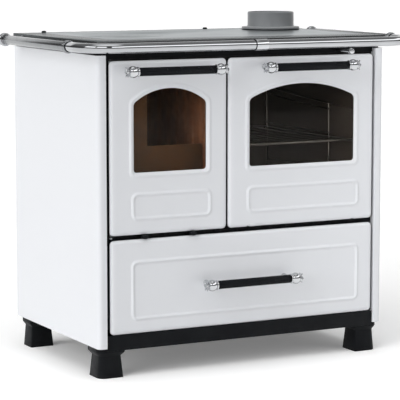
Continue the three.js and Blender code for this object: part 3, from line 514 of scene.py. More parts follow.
class Skin:
    """The points and faces of one piece, gathered ring by ring."""

    def __init__(self):
        self.points = []
        self.faces = []

    def ring(self, points):
        first = len(self.points)
        self.points.extend(Vector(p) for p in points)
        return list(range(first, len(self.points)))

    def loft(self, rings, capped=False):
        """Joins closed rings of equally many points one after another."""
        made = [self.ring(points) for points in rings]
        for one, other in zip(made, made[1:]):
            for i, j in zip(range(len(one)), [*range(1, len(one)), 0]):
                self.faces.append((one[i], one[j], other[j], other[i]))
        if capped:
            self.cap(made[0])
            self.cap(made[-1])
        return made

    def cap(self, ring):
        self.faces.append(tuple(ring))

    def flat(self, outer, *holes):
        """Fills the flat area between an outer loop and the loops inside it."""
        loops = [outer, *holes]
        order = [index for loop in loops for index in loop]
        corners = [[self.points[i] for i in loop] for loop in loops]
        for triangle in tessellate_polygon(corners):
            self.faces.append(tuple(order[k] for k in triangle))

    def turned(self, profile, place, sides=48, lobes=0, lobe_depths=None):
        """Turns a profile of (radius, distance) points about the local Z axis of `place`.

        A profile that ends where it starts makes a ring, and any other a solid.
        """
        rings = []
        for number, (radius, distance) in enumerate(profile):
            depth = lobe_depths[number] if lobes else 0
            ring = []
            for i in range(sides):
                angle = 2 * pi * i / sides
                r = radius * (1 + depth * cos(lobes * angle))
                ring.append(place @ Vector((r * cos(angle), r * sin(angle), distance)))
            rings.append(ring)
        made = self.loft(rings)
        if profile[0] != profile[-1]:
            for ring, (radius, _) in ((made[0], profile[0]), (made[-1], profile[-1])):
                if radius > 0:
                    self.cap(ring)
        return self

    def swept(self, stops, radius, sides, twist=0, strands=0, strand_depth=0, closed=False):
        """A tube through (point, forward, up) stops, with twisted strands if it has them."""
        rings = []
        for number, (point, forward, up) in enumerate(stops):
            across = forward.cross(up).normalized()
            ring = []
            for i in range(sides):
                angle = 2 * pi * i / sides
                r = radius * (1 + strand_depth * cos(strands * angle + twist * number))
                ring.append(point + across * r * cos(angle) + up * r * sin(angle))
            rings.append(ring)
        if closed:
            rings.append(rings[0])
        self.loft(rings, capped=not closed)
        return self

    def piece(self, name, slot, replaces=(), body="cabinet", sharp=40):
        """Makes the piece, lets it ride on its body and gives it its finish and slot."""
        mesh = bpy.data.meshes.new(name)
        mesh.from_pydata(self.points, [], self.faces)
        bm = bmesh.new()
        bm.from_mesh(mesh)
        bmesh.ops.remove_doubles(bm, verts=bm.verts, dist=1e-6)
        bmesh.ops.recalc_face_normals(bm, faces=bm.faces)
        bm.to_mesh(mesh)
        bm.free()
        mesh.shade_smooth()
        mesh.set_sharp_from_angle(angle=radians(sharp))
        mesh.materials.append(FINISHES[slot])
        obj = shown(name, mesh)
        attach(obj, body)
        if replaces:
            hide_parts(*replaces)
        return obj


def bevelled(obj, width, angle=30):
    """Rounds the sharp edges of a piece or a carried-over node."""
    weld = obj.modifiers.new("weld", "WELD")
    weld.merge_threshold = 1e-5
    bevel = obj.modifiers.new("edges", "BEVEL")
    bevel.width = width
    bevel.segments = 2
    bevel.limit_method = "ANGLE"
    bevel.angle_limit = radians(angle)
    smooth = obj.modifiers.new("smooth", "NODES")
    smooth.node_group = SMOOTH


def smooth_by_angle():
    """Geometry nodes that shade smooth and keep edges over SMOOTH_LIMIT degrees sharp."""
    group = bpy.data.node_groups.new("smooth_by_angle", "GeometryNodeTree")
    for way in ("INPUT", "OUTPUT"):
        group.interface.new_socket("Geometry", in_out=way, socket_type="NodeSocketGeometry")
    tree = Tree(group)
    start = tree.add("NodeGroupInput")
    end = tree.add("NodeGroupOutput")
    faces = tree.add("GeometryNodeSetShadeSmooth")
    edges = tree.add("GeometryNodeSetShadeSmooth", domain="EDGE")
    edges.inputs["Shade Smooth"].default_value = False
    angle = tree.add("GeometryNodeInputMeshEdgeAngle")
    sharp = tree.add("FunctionNodeCompare", operation="GREATER_THAN")
    sharp.inputs[1].default_value = radians(SMOOTH_LIMIT)
    for output, socket in (
        (angle.outputs["Unsigned Angle"], sharp.inputs[0]),
        (start.outputs[0], faces.inputs["Geometry"]),
        (faces.outputs[0], edges.inputs["Geometry"]),
        (sharp.outputs["Result"], edges.inputs["Selection"]),
        (edges.outputs[0], end.inputs[0]),
    ):
        tree.links.new(output, socket)
    return group


SMOOTH = smooth_by_angle()


def toward(point, direction):
    """A matrix at `point` whose local Z looks along `direction`."""
    turn = Vector(direction).to_track_quat("Z", "Y").to_matrix().to_4x4()
    return Matrix.Translation(point) @ turn


# ----- door and drawer fronts

def arched_window(node, grow):
    """The outline of the window before a glass, grown outwards by `grow`."""
    low_corner, high_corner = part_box(node)
    left = low_corner.x + GLASS_LAP - grow
    right = high_corner.x - GLASS_LAP + grow
    low = low_corner.z + GLASS_LAP - grow
    apex = high_corner.z - GLASS_LAP + grow
    shoulder = apex - WINDOW_ARCH_RISE - grow / 2
    half = (right - left) / 2
    rise = apex - shoulder
    radius = (half * half + rise * rise) / (2 * rise)
    middle = (left + right) / 2
    hub = apex - radius
    corner = WINDOW_CORNER + grow / 2
    bend = WINDOW_SHOULDER + grow / 2
    reach = half - bend
    bend_height = hub + sqrt((radius - bend) ** 2 - reach ** 2)
    turn = degrees(atan2(bend_height - hub, reach))
    return [
        *arc(right - corner, low + corner, corner, -90, 0, 8),
        *arc(middle + reach, bend_height, bend, 0, turn, 6)[:-1],
        *arc(middle, hub, radius, turn, 180 - turn, 36),
        *arc(middle - reach, bend_height, bend, 180 - turn, 180, 6)[1:],
        *arc(left + corner, low + corner, corner, 180, 270, 8),
    ]


def at_depth(outline, y):
    return [(x, y, z) for x, z in outline]


def bead_rings(outline_at, face_y, start, end):
    """Rings over a rounded ridge whose outline is moved from `start` to `end`."""
    rings = []
    steps = 10
    for i in range(steps + 1):
        share = i / steps
        height = BEAD_RISE * (1 - cos(2 * pi * share)) / 2
        rings.append(at_depth(outline_at(start + (end - start) * share), face_y - height))
    return rings


def pressed_front(body, node, pad_box, glass_node=None, left_trim=0):
    """A pressed sheet front with pillowed edges, a raised bead and a window if it has one."""
    low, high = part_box(node)
    low.x += left_trim
    face_y = low.y + BEAD_HEIGHT
    back_y = high.y

    def outline(inset):
        return rounded_rectangle(low.x + inset, high.x - inset, low.z + inset, high.z - inset,
                                 max(FACE_CORNER - inset, LEAST_CORNER))

    def pad(inset):
        left, right, bottom, top = pad_box
        return rounded_rectangle(left + inset, right - inset, bottom + inset, top - inset,
                                 PAD_CORNER - inset)

    def window(grow):
        return arched_window(glass_node, grow)

    skin = Skin()
    edge = [at_depth(outline(0), back_y)]
    edge_steps = 8
    for i in range(edge_steps + 1):
        angle = radians(90 * i / edge_steps)
        inset = EDGE_ROUND * (1 - cos(angle))
        edge.append(at_depth(outline(inset), face_y + EDGE_DEPTH * (1 - sin(angle))))
    edge.append(at_depth(outline(EDGE_ROUND + FLAT_MARGIN), face_y))
    edge_loops = skin.loft(edge)
    pad_loops = skin.loft([
        at_depth(pad(-FLAT_MARGIN), face_y),
        *bead_rings(pad, face_y, 0, BEAD_WIDTH),
        at_depth(pad(BEAD_WIDTH + FLAT_MARGIN), face_y),
    ])
    skin.cap(pad_loops[-1])
    holes = [pad_loops[0]]

    inner = skin.loft([
        at_depth(outline(0), back_y),
        at_depth(outline(RIM_WALL), back_y),
        at_depth(outline(RIM_WALL), face_y + EDGE_DEPTH + SKIN),
        at_depth(outline(EDGE_ROUND), face_y + SKIN),
    ])
    inner_holes = []
    if glass_node:
        rings = skin.loft([
            at_depth(window(BEAD_WIDTH + FLAT_MARGIN), face_y),
            *bead_rings(window, face_y, BEAD_WIDTH, 0),
            *(at_depth(window(grow), face_y + depth) for grow, depth in WINDOW_EDGE),
        ])
        holes.append(rings[0])
        inner_holes.append(rings[-1])
    skin.flat(edge_loops[-1], *holes)
    skin.flat(inner[-1], *inner_holes)
    front = skin.piece(f"{body}_skin", "white_enamel", [node], body, 50)
    front.data.materials.append(FINISHES["black_paint"])
    # the back and the inside of the sheet are black; the outer rim wall deeper than the pillowed edge is
    # painted black too, as painted shade that darkens the gaps round the fronts
    for face in front.data.polygons:
        # faces deeper than the pillowed edge: the real back of the sheet, and the rim wall painted black as
        # shade in the gaps
        back_and_gap_shade = face.center.y > face_y + EDGE_DEPTH - 0.2 * MM
        if back_and_gap_shade or face.normal.y > 0.5:
            face.material_index = 1
    return front


def notched(front, boxes):
    """Cuts boxes, given by their lowest and highest corners, out of a front."""
    mesh = bpy.data.meshes.new("cutter")
    bm = bmesh.new()
    for low, high in boxes:
        size = Matrix.Diagonal((*(high - low), 1))
        bmesh.ops.create_cube(bm, size=1, matrix=Matrix.Translation((low + high) / 2) @ size)
    bm.to_mesh(mesh)
    bm.free()
    cutter = shown("cutter", mesh)
    cut = front.modifiers.new("notches", "BOOLEAN")
    cut.operation = "DIFFERENCE"
    cut.solver = "EXACT"
    cut.object = cutter
    state = bpy.context.evaluated_depsgraph_get()
    whole = front.data
    front.data = bpy.data.meshes.new_from_object(front.evaluated_get(state))
    front.modifiers.clear()
    bpy.data.meshes.remove(whole)
    bpy.data.objects.remove(cutter)
    bpy.data.meshes.remove(mesh)


def hinge_notches():
    """Room in the bottom rim of the oven door for the two lugs that its hinge rod turns in."""
    low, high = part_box("oven_door_panel")
    rod_low, rod_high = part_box("oven_hinge_rod")
    front = low.y + BEAD_HEIGHT + SKIN
    top = (rod_low.z + rod_high.z) / 2 + LUG_ROOM
    for x in (low.x + LUG_INSET, high.x - LUG_INSET):
        corner = Vector((x - LUG_WIDTH / 2, front, low.z - CUT_MARGIN))
        yield corner, Vector((x + LUG_WIDTH / 2, high.y + CUT_MARGIN, top))


def door_pad(node, margin, shift):
    low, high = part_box(node)
    bottom = low.z + DOOR_PAD_RISE
    return low.x + margin + shift, high.x - margin + shift, bottom, bottom + DOOR_PAD_HEIGHT


def drawer_pad(node):
    low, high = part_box(node)
    left = low.x + DRAWER_PAD_MARGIN + DRAWER_PAD_SHIFT
    right = high.x - DRAWER_PAD_MARGIN + DRAWER_PAD_SHIFT
    return left, right, low.z + DRAWER_PAD_RISE, high.z - DRAWER_PAD_DROP


def fronts():
    fire_pad = door_pad("firebox_door_panel", FIRE_PAD_MARGIN, FIRE_PAD_SHIFT)
    oven_pad = door_pad("oven_door_panel", OVEN_PAD_MARGIN, OVEN_PAD_SHIFT)
    pressed_front("firebox_door", "firebox_door_panel", fire_pad, "firebox_door_glass", LEFT_TRIM)
    oven = pressed_front("oven_door", "oven_door_panel", oven_pad, "oven_door_glass")
    notched(oven, hinge_notches())
    pressed_front("drawer", "drawer_front", drawer_pad("drawer_front"), left_trim=LEFT_TRIM)


# ----- side panels

def side_panel(side):
    """A folded sheet: the side, a round corner, a narrow front and its return."""
    name = f"side_panel_{HAND[side]}"
    low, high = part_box(name)
    outer = max(abs(low.x), abs(high.x))
    front, back = low.y, high.y
    lip = outer - PANEL_FLANGE
    bend = PANEL_CORNER
    outside = [(outer, back), *arc(outer - bend, front + bend, bend, 0, -90, 16), (lip, front)]
    end = [(lip, front + PANEL_RETURN), (lip + PANEL_SHEET, front + PANEL_RETURN)]
    inside = [
        (lip + PANEL_SHEET, front + PANEL_SHEET),
        *arc(outer - bend, front + bend, bend - PANEL_SHEET, -90, 0, 16),
        (outer - PANEL_SHEET, back),
    ]
    profile = [(side * x, y) for x, y in [*outside, *end, *inside]]
    skin = Skin()
    skin.loft([[(x, y, z) for x, y in profile] for z in (low.z, high.z)], capped=True)
    panel = skin.piece(name.replace("panel", "skin"), "white_enamel", [name], sharp=35)
    bevelled(panel, PANEL_EDGE, 50)


# ----- handrail

def rounded_end(radius, place, turn, inward):
    """Profile points that round the edge of a disc at `place`, `turn` in radius."""
    angles = [radians(a) for a in (0, 30, 60, 90)]
    return [(radius - turn * (1 - sin(a)), place + inward * turn * (1 - cos(a)))
            for a in angles]


def rod_profile(radius, start, end, turn):
    """A rod from start to end with both of its edges rounded."""
    first = rounded_end(radius, start, turn, 1)
    last = rounded_end(radius, end, turn, -1)
    return [(0, start), *first, *reversed(last), (0, end)]


def front_rail(side):
    """Half of the front rail, with the bend at its corner."""
    name = f"rail_front_{HAND[side]}"
    low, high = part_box(name)
    height = (low.z + high.z) / 2
    front = low.y + RAIL_RADIUS
    outer = max(abs(low.x), abs(high.x)) - RAIL_RADIUS
    inner = min(abs(low.x), abs(high.x))
    up = Vector((0, 0, 1))
    stops = [(Vector((side * inner, front, height)), Vector((side, 0, 0)), up)]
    corner = outer - RAIL_BEND
    steps = 24
    for i in range(steps + 1):
        turn = radians(90 * i / steps)
        point = Vector((side * (corner + RAIL_BEND * sin(turn)),
                        front + RAIL_BEND * (1 - cos(turn)), height))
        stops.append((point, Vector((side * cos(turn), sin(turn), 0)), up))
    stops.append((Vector((side * outer, high.y, height)), Vector((0, 1, 0)), up))
    Skin().swept(stops, RAIL_RADIUS, 48).piece(name.replace("rail", "tube"), "chrome", [name])


def side_rail(side):
    name = f"rail_side_{HAND[side]}"
    low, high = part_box(name)
    middle = Vector(((low.x + high.x) / 2, low.y, (low.z + high.z) / 2))
    profile = rod_profile(RAIL_RADIUS, 0, high.y - low.y, RAIL_EDGE)
    rail = Skin().turned(profile, toward(middle, (0, 1, 0)))
    rail.piece(name.replace("rail", "tube"), "satin_steel", [name])


def ring_profile(radius):
    """Two round ridges side by side with a groove between them."""
    half = RING_LENGTH / 2
    ridge = half / 2
    first = bow(ridge, ridge - half, range(0, 151, 15), radius - ridge)
    second = [(r, -d) for r, d in reversed(first)]
    return [(0, -half), *first, *second, (0, half)]


def stem(skin, start, direction, reach, foot_radius=STEM_FOOT_RADIUS):
    """The arm that holds the rail, with a moulded foot on the stove."""
    foot = reach - STEM_FOOT_HEIGHT
    profile = [
        (0, 0), (STEM_RADIUS, 0), (STEM_RADIUS, foot - 2 * MM),
        (STEM_RADIUS + 0.8 * MM, foot - 0.6 * MM), (foot_radius - 1.5 * MM, foot),
        (foot_radius, foot + 1.5 * MM), (foot_radius, reach), (0, reach),
    ]
    skin.turned(profile, toward(start, direction), 32)


def side_bracket(place, side, capped):
    """A ringed bracket; a capped one ends the rail, and the other has a black seam before it."""
    name = f"rail_bracket_{place}_{HAND[side]}"
    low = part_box(name)[0]
    rail_low, rail_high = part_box(f"rail_side_{HAND[side]}")
    x = (rail_low.x + rail_high.x) / 2
    height = (rail_low.z + rail_high.z) / 2
    half = RING_LENGTH / 2
    top_side = max(abs(corner.x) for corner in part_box("top_frame"))
    profile = ring_profile(BACK_RING_RADIUS if capped else FRONT_RING_RADIUS)
    if capped:
        foot = half - RING_CAP_SINK
        angles = [radians(a) for a in range(0, 91, 15)]
        profile = profile[:-1]
        profile += [(RING_CAP_RADIUS * cos(a), foot + RING_CAP_BULGE * sin(a)) for a in angles]
    middle = Vector((x, low.y + half, height))
    skin = Skin()
    skin.turned(profile, toward(middle, (0, 1, 0)))
    stem(skin, middle, (-side, 0, 0), abs(x) - top_side - GAP)
    if not capped:
        seam(HAND[side], RING_SEAM_RADIUS, (x, low.y + SEAM_LENGTH / 2, height), (0, 1, 0))
    finish = "chrome" if capped else "satin_steel"
    skin.piece(name.replace("rail_bracket", "bracket"), finish, [name])


def seam(place, radius, middle, direction):
    """A thin black ring round the rail where two of its parts meet."""
    half = SEAM_LENGTH / 2
    edge = radius - SEAM_EDGE
    profile = [(SEAM_INNER_RADIUS, -half), (edge, -half), (radius, -half / 2), (radius, half / 2),
               (edge, half), (SEAM_INNER_RADIUS, half), (SEAM_INNER_RADIUS, -half)]
    Skin().turned(profile, toward(middle, direction)).piece(f"rail_seam_{place}", "black_paint")


def centre_bracket():
    """The sleeve that joins the halves of the front rail, on an arm of its own."""
    name = "rail_bracket_centre"
    low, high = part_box(name)
    rail_low, rail_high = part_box("rail_front_left")
    half = (high.x - low.x) / 2
    y = rail_low.y + RAIL_RADIUS
    height = (rail_low.z + rail_high.z) / 2
    middle = Vector((0, y, height))
    skin = Skin()
    skin.turned(rod_profile(SLEEVE_RADIUS, -half, half, SLEEVE_EDGE), toward(middle, (1, 0, 0)))
    stem(skin, middle, (0, 1, 0), high.y - y, CENTRE_FOOT_RADIUS)
    seam("centre", SLEEVE_SEAM_RADIUS, (-half + SEAM_LENGTH / 2, y, height), (1, 0, 0))
    skin.piece("bracket_centre", "bright_chrome", [name])


def handrail():
    for side in HAND:
        front_rail(side)
        side_rail(side)
        side_bracket("front", side, False)
        side_bracket("back", side, True)
    centre_bracket()


# ----- handles

def handle_bar(prefix, body):
    """A fluted bar with a narrow chamfer at both ends."""
    node = f"{prefix}_handle_bar"
    low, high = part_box(node)
    middle = (low + high) / 2
    length = high.x - low.x
    end = BAR_RADIUS - BAR_TURN
    depth = BAR_FLUTE_DEPTH / BAR_RADIUS / 2
    profile = [(0, 0), (end, 0), (BAR_RADIUS, BAR_TURN), (BAR_RADIUS, length - BAR_TURN),
               (end, length), (0, length)]
    skin = Skin()
    skin.turned(profile, toward((low.x, middle.y, middle.z), (1, 0, 0)), BAR_FLUTES * 6,
                BAR_FLUTES, [0, depth, depth, depth, depth, 0])
    skin.piece(f"{prefix}_grip", "handle_black", [node], body, 60)


def handle_end(prefix, side, body):
    """A turned end: collar, ball, waist and a lobed crown, with the stand-off to the door."""
    node = f"{prefix}_handle_post_{HAND[side]}"
    bar_low, bar_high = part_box(f"{prefix}_handle_bar")
    bar_end = bar_low.x if side < 0 else bar_high.x
    middle = (bar_low + bar_high) / 2
    start = Vector((bar_end + side * GAP, middle.y, middle.z))
    collar = [
        (0, 0), (BAR_RADIUS + 1.2 * MM, 0), (BAR_RADIUS + 2.4 * MM, 1.2 * MM),
        (BAR_RADIUS + 2.6 * MM, 2.2 * MM), (BAR_RADIUS + 2.0 * MM, 3.4 * MM),
        (BAR_RADIUS + 0.4 * MM, 4.2 * MM),
    ]
    ball = bow(BALL_RADIUS, BALL_CENTRE, range(48, 143, 8))
    steps = 8
    crown = []
    for i in range(steps + 1):
        share = i / steps
        crown.append((WAIST_RADIUS + (CROWN_RADIUS - WAIST_RADIUS) * share ** CROWN_FLARE,
                      WAIST_PLACE + (CROWN_END - WAIST_PLACE) * share))
    dish = [
        (CROWN_RADIUS - 1.2 * MM, CROWN_END), (CROWN_RADIUS - 4 * MM, CROWN_END - 1.8 * MM),
        (4.2 * MM, CROWN_END - 2.4 * MM), (3.6 * MM, CROWN_END - 0.8 * MM),
        (2 * MM, CROWN_END), (0, CROWN_END),
    ]
    lobes = [0] * len(collar + ball)
    lobes += [CROWN_LOBE_DEPTH * i / steps for i in range(steps + 1)]
    lobes += [CROWN_LOBE_DEPTH, CROWN_LOBE_DEPTH / 2, 0, 0, 0, 0]
    profile = collar + ball + crown + dish
    skin = Skin()
    skin.turned(profile, toward(start, (side, 0, 0)), 64, CROWN_LOBES, lobes)
    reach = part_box(node)[1].y - middle.y
    foot = reach - ROSETTE_HEIGHT
    stand_off = [
        (0, 0), (STAND_OFF_RADIUS, 0), (STAND_OFF_RADIUS, foot - 6 * MM),
        (STAND_OFF_RADIUS + 2 * MM, foot - 4 * MM), (STAND_OFF_RADIUS + 2.4 * MM, foot - 2.5 * MM),
        (STAND_OFF_RADIUS + 1 * MM, foot - 1 * MM), (ROSETTE_RADIUS - 2.5 * MM, foot + 0.5 * MM),
        (ROSETTE_RADIUS, foot + 2.5 * MM), (ROSETTE_RADIUS, reach), (0, reach),
    ]
    root = start + Vector((side * (BALL_CENTRE - STAND_OFF_SHIFT), 0, 0))
    skin.turned(stand_off, toward(root, (0, 1, 0)), 40)
    skin.piece(f"{prefix}_handle_end_{HAND[side]}", "bright_chrome", [node], body, 55)


def handles():
    for prefix, body in (("firebox", "firebox_door"), ("oven", "oven_door"), ("drawer", "drawer")):
        handle_bar(prefix, body)
        for side in HAND:
            handle_end(prefix, side, body)


# ----- flue collar and knobs

def flue_collar():
    """The collar and its flange, on a black ring that is painted shade: it stands for the dark shadow under
    the flange.
    """
    low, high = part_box("flue_collar")
    middle = (low + high) / 2
    flange = (high.x - low.x) / 2
    top = high.z - low.z
    collar = [
        (FLUE_BORE, FLANGE_LOW), (flange - 1 * MM, FLANGE_LOW), (flange, FLANGE_LOW + 1 * MM),
        (flange, FLANGE_HIGH - 1.5 * MM), (flange - 1.5 * MM, FLANGE_HIGH),
        (FLUE_RADIUS + 4 * MM, FLANGE_HIGH), (FLUE_RADIUS + 1.5 * MM, FLANGE_HIGH + 0.6 * MM),
        (FLUE_RADIUS, FLANGE_HIGH + 3 * MM), (FLUE_RADIUS, top - 3 * MM),
        (FLUE_RADIUS - 0.5 * MM, top - 1.2 * MM), (FLUE_RADIUS - FLUE_LIP, top),
        (FLUE_BORE + 0.8 * MM, top - 0.6 * MM), (FLUE_BORE, top - 2 * MM), (FLUE_BORE, FLANGE_LOW),
    ]
    # the black ring under the flange is painted shade for the shadow beneath it
    painted_shade_ring_top = FLANGE_LOW - GAP
    painted_shade_ring = [
        (FLUE_BORE, 0), (flange - PAINTED_SHADE_RING_EDGE, 0), (flange, PAINTED_SHADE_RING_EDGE),
        (flange, painted_shade_ring_top - PAINTED_SHADE_RING_EDGE), (flange - PAINTED_SHADE_RING_EDGE, painted_shade_ring_top),
        (FLUE_BORE, painted_shade_ring_top), (FLUE_BORE, 0),
    ]
    place = Matrix.Translation((middle.x, middle.y, low.z))
    spun = Skin().turned(collar, place, 96)
    spun.piece("flue_collar_spun", "flue_steel", ["flue_collar"], sharp=35)
    # the black ring is painted shade under the flange
    Skin().turned(painted_shade_ring, place, 96).piece("flue_painted_shade_ring", "black_paint", sharp=35)


def bypass_knob():
    """The damper: a chrome ball on a tapered rod, with its blade far behind."""
    low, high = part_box("bypass_damper")
    x, z = (low.x + high.x) / 2, (low.z + high.z) / 2
    blade = high.y - BLADE_LENGTH
    rod_end = blade - low.y + BLADE_LAP
    back = 2 * BYPASS_BALL
    profile = [
        *bow(BYPASS_BALL, BYPASS_BALL, range(0, 151, 10)),
        (4.6 * MM, back + 0.5 * MM), (3.6 * MM, back + 8 * MM), (BYPASS_ROD, back + 30 * MM),
        (BYPASS_ROD, rod_end), (0, rod_end),
    ]
    outline = rounded_rectangle(low.x, high.x, blade, high.y, BLADE_CORNER, 4)
    skin = Skin()
    skin.turned(profile, toward((x, low.y, z), (0, 1, 0)), 40)
    faces = [[(px, py, z + dz) for px, py in outline] for dz in (-BLADE_HALF, BLADE_HALF)]
    skin.loft(faces, capped=True)
    skin.piece("bypass_pull", "bright_chrome", ["bypass_damper"], "bypass_damper")


def air_knobs():
    """Oval black grips, a little proud of the drawer, on stems with their plates behind."""
    radius, length = AIR_KNOB_RADIUS, AIR_GRIP_LENGTH
    grip = [(0, 0), (radius * 0.6, 0.2 * MM), (radius * 0.9, 1.2 * MM), (radius, 3 * MM),
            (radius, length - 2.5 * MM), (radius * 0.8, length), (0, length)]
    root = length - 0.5 * MM
    for side in HAND.values():
        node = f"air_register_{side}"
        low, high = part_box(node)
        middle = (low + high) / 2
        end = high.y - low.y + AIR_KNOB_PROUD
        stem = [(0, root), (AIR_STEM_RADIUS, root), (AIR_STEM_RADIUS, end - AIR_PLATE),
                (radius, end - AIR_PLATE), (radius, end), (0, end)]
        place = toward((middle.x, low.y - AIR_KNOB_PROUD, middle.z), (0, 1, 0))
        skin = Skin()
        skin.turned(grip, place @ Matrix.Diagonal((AIR_KNOB_OVAL, 1, 1, 1)), 40)
        skin.turned(stem, place, 24)
        skin.piece(f"air_knob_{side}", "black_paint", [node], node)


def top_plugs():
    """Two small black plugs near the back edge of the top."""
    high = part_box("top_frame")[1]
    profile = [(0, 0), (PLUG_RADIUS, 0), (PLUG_RADIUS, PLUG_HEIGHT * 0.5),
               (PLUG_RADIUS * 0.85, PLUG_HEIGHT * 0.85), (PLUG_RADIUS * 0.5, PLUG_HEIGHT),
               (0, PLUG_HEIGHT)]
    for side, x in PLUG_PLACES:
        plug = Skin().turned(profile, Matrix.Translation((x, high.y - PLUG_INSET, high.z)), 28)
        plug.piece(f"top_plug_{side}", "black_paint")


# ----- seals and insides

def door_seal(door):
    """A twisted rope laid in a rounded rectangle round the back of the door."""
    node = f"{door}_seal"
    low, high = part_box(node)
    radius = (high.y - low.y) / 2
    inset = SEAL_WIDTH / 2
    y = (low.y + high.y) / 2
    outline = rounded_rectangle(low.x + inset, high.x - inset, low.z + inset, high.z - inset,
                                SEAL_CORNER, 6)
    path = []
    for (x0, z0), (x1, z1) in zip(outline, [*outline[1:], outline[0]]):
        steps = max(1, round(hypot(x1 - x0, z1 - z0) / SEAL_STEP))
        for i in range(steps):
            share = i / steps
            path.append(Vector((x0 + (x1 - x0) * share, y, z0 + (z1 - z0) * share)))
    across = Vector((0, -1, 0))
    count = len(path)
    stops = [(path[i], (path[(i + 1) % count] - path[i - 1]).normalized(), across)
             for i in range(count)]
    twist = 2 * pi * round(count / SEAL_LAY) / count
    skin = Skin()
    skin.swept(stops, radius * SEAL_FILL, 12, twist, SEAL_STRANDS, SEAL_STRAND_DEPTH, closed=True)
    skin.piece(door.replace("door", "rope"), "seal_rope", [node], door, 80)


def firebox_bricks():
    """The ribbed lining: one U of brick, open to the front, with upright grooves."""
    low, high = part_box("firebox_lining")
    left, right = low.x + BRICK_WALL, high.x - BRICK_WALL
    back = high.y - BRICK_WALL

    def grooved(start, end, inward, count):
        """Points from start to end with `count` grooves cut away from `inward`."""
        points = []
        along = (end - start) / count
        for i in range(count):
            for share, deep in ((0.2, 0), (0.3, 1), (0.7, 1), (0.8, 0)):
                points.append(start + along * (i + share) - inward * BRICK_GROOVE * deep)
        return points

    corners = [Vector(c) for c in ((right, low.y), (right, back), (left, back), (left, low.y))]
    walls = (((-1, 0), SIDE_RIBS), ((0, -1), BACK_RIBS), ((1, 0), SIDE_RIBS))
    inner = [corners[0]]
    for start, end, (inward, count) in zip(corners, corners[1:], walls):
        inner += [*grooved(start, end, Vector(inward), count), end]
    outer = [(low.x, low.y), (low.x, high.y), (high.x, high.y), (high.x, low.y)]
    skin = Skin()
    loops = skin.loft([[(x, y, z) for x, y in [*inner, *outer]] for z in (low.z, high.z)])
    for loop in loops:
        skin.flat(loop)
    skin.piece("firebox_bricks", "firebrick", ["firebox_lining"], sharp=20)


def oven_wires():
    """Wire ladders on both walls of the oven that the rack slides on."""
    low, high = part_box("oven_box")
    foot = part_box("oven_rack")[0].z
    front, back = low.y + LADDER_FRONT, high.y - LADDER_BACK
    levels = [foot + rung for rung in LADDER_RUNGS]
    up = Vector((0, 0, 1))
    along = Vector((0, 1, 0))
    for side, x in (("left", low.x + LADDER_INSET), ("right", high.x - LADDER_INSET)):
        skin = Skin()
        for y in (front, back):
            skin.swept([(Vector((x, y, z)), up, along) for z in (levels[0], levels[-1])],
                       LADDER_WIRE, 10)
        for level in levels:
            ends = (front - LADDER_OVERHANG, back + LADDER_OVERHANG)
            skin.swept([(Vector((x, y, level)), along, up) for y in ends], LADDER_WIRE, 10)
        skin.piece(f"oven_ladder_{side}", "chrome")


# ----- carried-over nodes

# the finish of each, the width of its rounded edges in millimetres, and the nodes
CARRIED = {
    "black_paint": (0.8, ["base_rail", "top_band", "vent_strip", "foot_front_left",
                          "foot_front_right", "foot_back_left", "foot_back_right"]),
    "cast_iron": (0.8, ["front_plate", "firebox_shell", "grate", "firebox_door_frame",
                        "oven_door_frame"]),
    "hob_iron": (0.8, ["hob_ring", "hob_lid"]),
    "dark_steel": (1.5, ["top_frame"]),
    "hob_steel": (0.5, ["hob_plate"]),
    "zinc_sheet": (0.4, ["back_panel", "middle_shelf", "drawer_runner_left", "drawer_runner_right",
                         "drawer_floor", "drawer_box", "ash_pan", "firebox_hinge_rod",
                         "oven_hinge_rod"]),
    "scorched_iron": (0.6, ["log_guard"]),
    "oven_enamel": (0.4, ["oven_box"]),
    "dark_steel_wire": (0.3, ["oven_rack"]),
    "glass": (0.5, ["firebox_door_glass", "oven_door_glass"]),
}


def carried_nodes():
    for finish, (width, names) in CARRIED.items():
        for name in names:
            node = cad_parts[name]
            if not node.material_slots:
                node.data.materials.append(FINISHES[finish])
            for slot in node.material_slots:
                slot.material = FINISHES[finish]
            bevelled(node, width * MM)


# ----- floor, light and camera

def floor():
    """A wide pale floor: white to the eye and in reflections, with the stove's shadow on it."""
    size = FLOOR_REACH
    mesh = bpy.data.meshes.new("floor")
    mesh.from_pydata([(-size, -size, 0), (size, -size, 0), (size, size, 0), (-size, size, 0)], [],
                     [(0, 1, 2, 3)])
    f = Finish("floor_white", Roughness=1.0, Specular_IOR_Level=0.0)
    f.shader.inputs["Emission Color"].default_value = (1, 1, 1, 1)
    seen = f.seen_by("Camera", "Glossy", "Transmission")
    f.colour(f.mix(seen, FLOOR_TONE, 1))
    glow = f.add("ShaderNodeMath", operation="MULTIPLY")
    f.links.new(seen, glow.inputs[0])
    glow.inputs[1].default_value = FLOOR_GLOW
    f.links.new(glow.outputs[0], f.shader.inputs["Emission Strength"])
    mesh.materials.append(f.material)
    shown("floor", mesh)


def lamp(name, kind, level, toward_light, **settings):
    """A lamp in the direction given, which mirrors don't show."""
    light = bpy.data.lights.new(name, kind)
    light.energy = level
    for key, value in settings.items():
        setattr(light, key, value)
    obj = shown(name, light)
    obj.rotation_euler = Vector(toward_light).to_track_quat("Z", "Y").to_euler()
    obj.visible_glossy = False
    return obj


def sector_stops(sectors):
    """Ramp stops that are 1 inside the sectors, round the stove, and 0 between them."""
    stops = []
    for start, end in sectors:
        first, last = (start + 90) / 360 % 1, (end + 90) / 360 % 1
        stops += [(first - SECTOR_EDGE, 0), (first, 1), (last, 1), (last + SECTOR_EDGE, 0)]
    return sorted(stops)


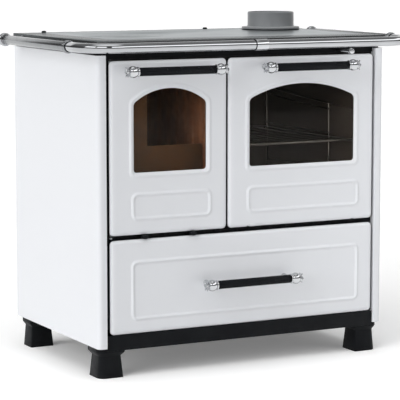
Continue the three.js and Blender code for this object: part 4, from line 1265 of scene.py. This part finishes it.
def studio():
    """The world: white to the eye, a studio in mirrors and a plain grey to all other rays."""
    scene.world = bpy.data.worlds.new("studio")
    scene.world.use_nodes = True
    world = Tree(scene.world.node_tree)
    direction = world.add("ShaderNodeTexCoord").outputs["Generated"]
    height = world.pattern("ShaderNodeSeparateXYZ", direction, "Z")
    bearing = world.pattern("ShaderNodeTexGradient", direction, "Fac")
    bearing.node.gradient_type = "RADIAL"
    back_and_gap_shade = world.ramp(bearing, sector_stops(BACKDROP_SECTORS))
    walls = world.mix(back_and_gap_shade, world.ramp(height, ROOM_LEVELS), world.ramp(height, BACKDROP_LEVELS))
    in_row = world.ramp(bearing, sector_stops(BOX_SECTORS))
    boxes = world.mix(world.ramp(height, BOX_ROW), 0, in_row)
    room = world.mix(boxes, walls, BOX_LEVEL)
    mirrored = world.mix(world.seen_by("Glossy"), AMBIENT, room)
    seen = world.mix(world.seen_by("Camera", "Transmission"), mirrored, 1)
    world.links.new(seen, world.nodes["Background"].inputs["Color"])
    scene.view_settings.view_transform = "Standard"


def lamps():
    """A low key on the left, a soft light overhead and a weak fill on the right."""
    azimuth, rise = radians(KEY_AZIMUTH), radians(KEY_HEIGHT)
    from_left = (-sin(azimuth) * cos(rise), -cos(azimuth) * cos(rise), sin(rise))
    lamp("key", "SUN", KEY_LEVEL, from_left, angle=radians(KEY_SPREAD))
    lamp("top", "SUN", TOP_LEVEL, TOP_FROM, angle=radians(TOP_SPREAD))
    fill = lamp("fill", "AREA", FILL_LEVEL, Vector(FILL_PLACE) - Vector(FILL_AIM), size=FILL_SIZE)
    fill.location = FILL_PLACE


def camera():
    data = bpy.data.cameras.new("camera")
    data.sensor_width = SENSOR_WIDTH
    data.lens = CAMERA_LENS
    view = shown("camera", data)
    view.location = CAMERA_PLACE
    view.rotation_euler = (radians(90 - CAMERA_PITCH), 0, radians(CAMERA_TURN))
    scene.camera = view


# ----- the stove

camera()
studio()
lamps()
floor()
fronts()
for hand in HAND:
    side_panel(hand)
handrail()
handles()
flue_collar()
bypass_knob()
air_knobs()
top_plugs()
door_seal("firebox_door")
door_seal("oven_door")
firebox_bricks()
oven_wires()
carried_nodes()
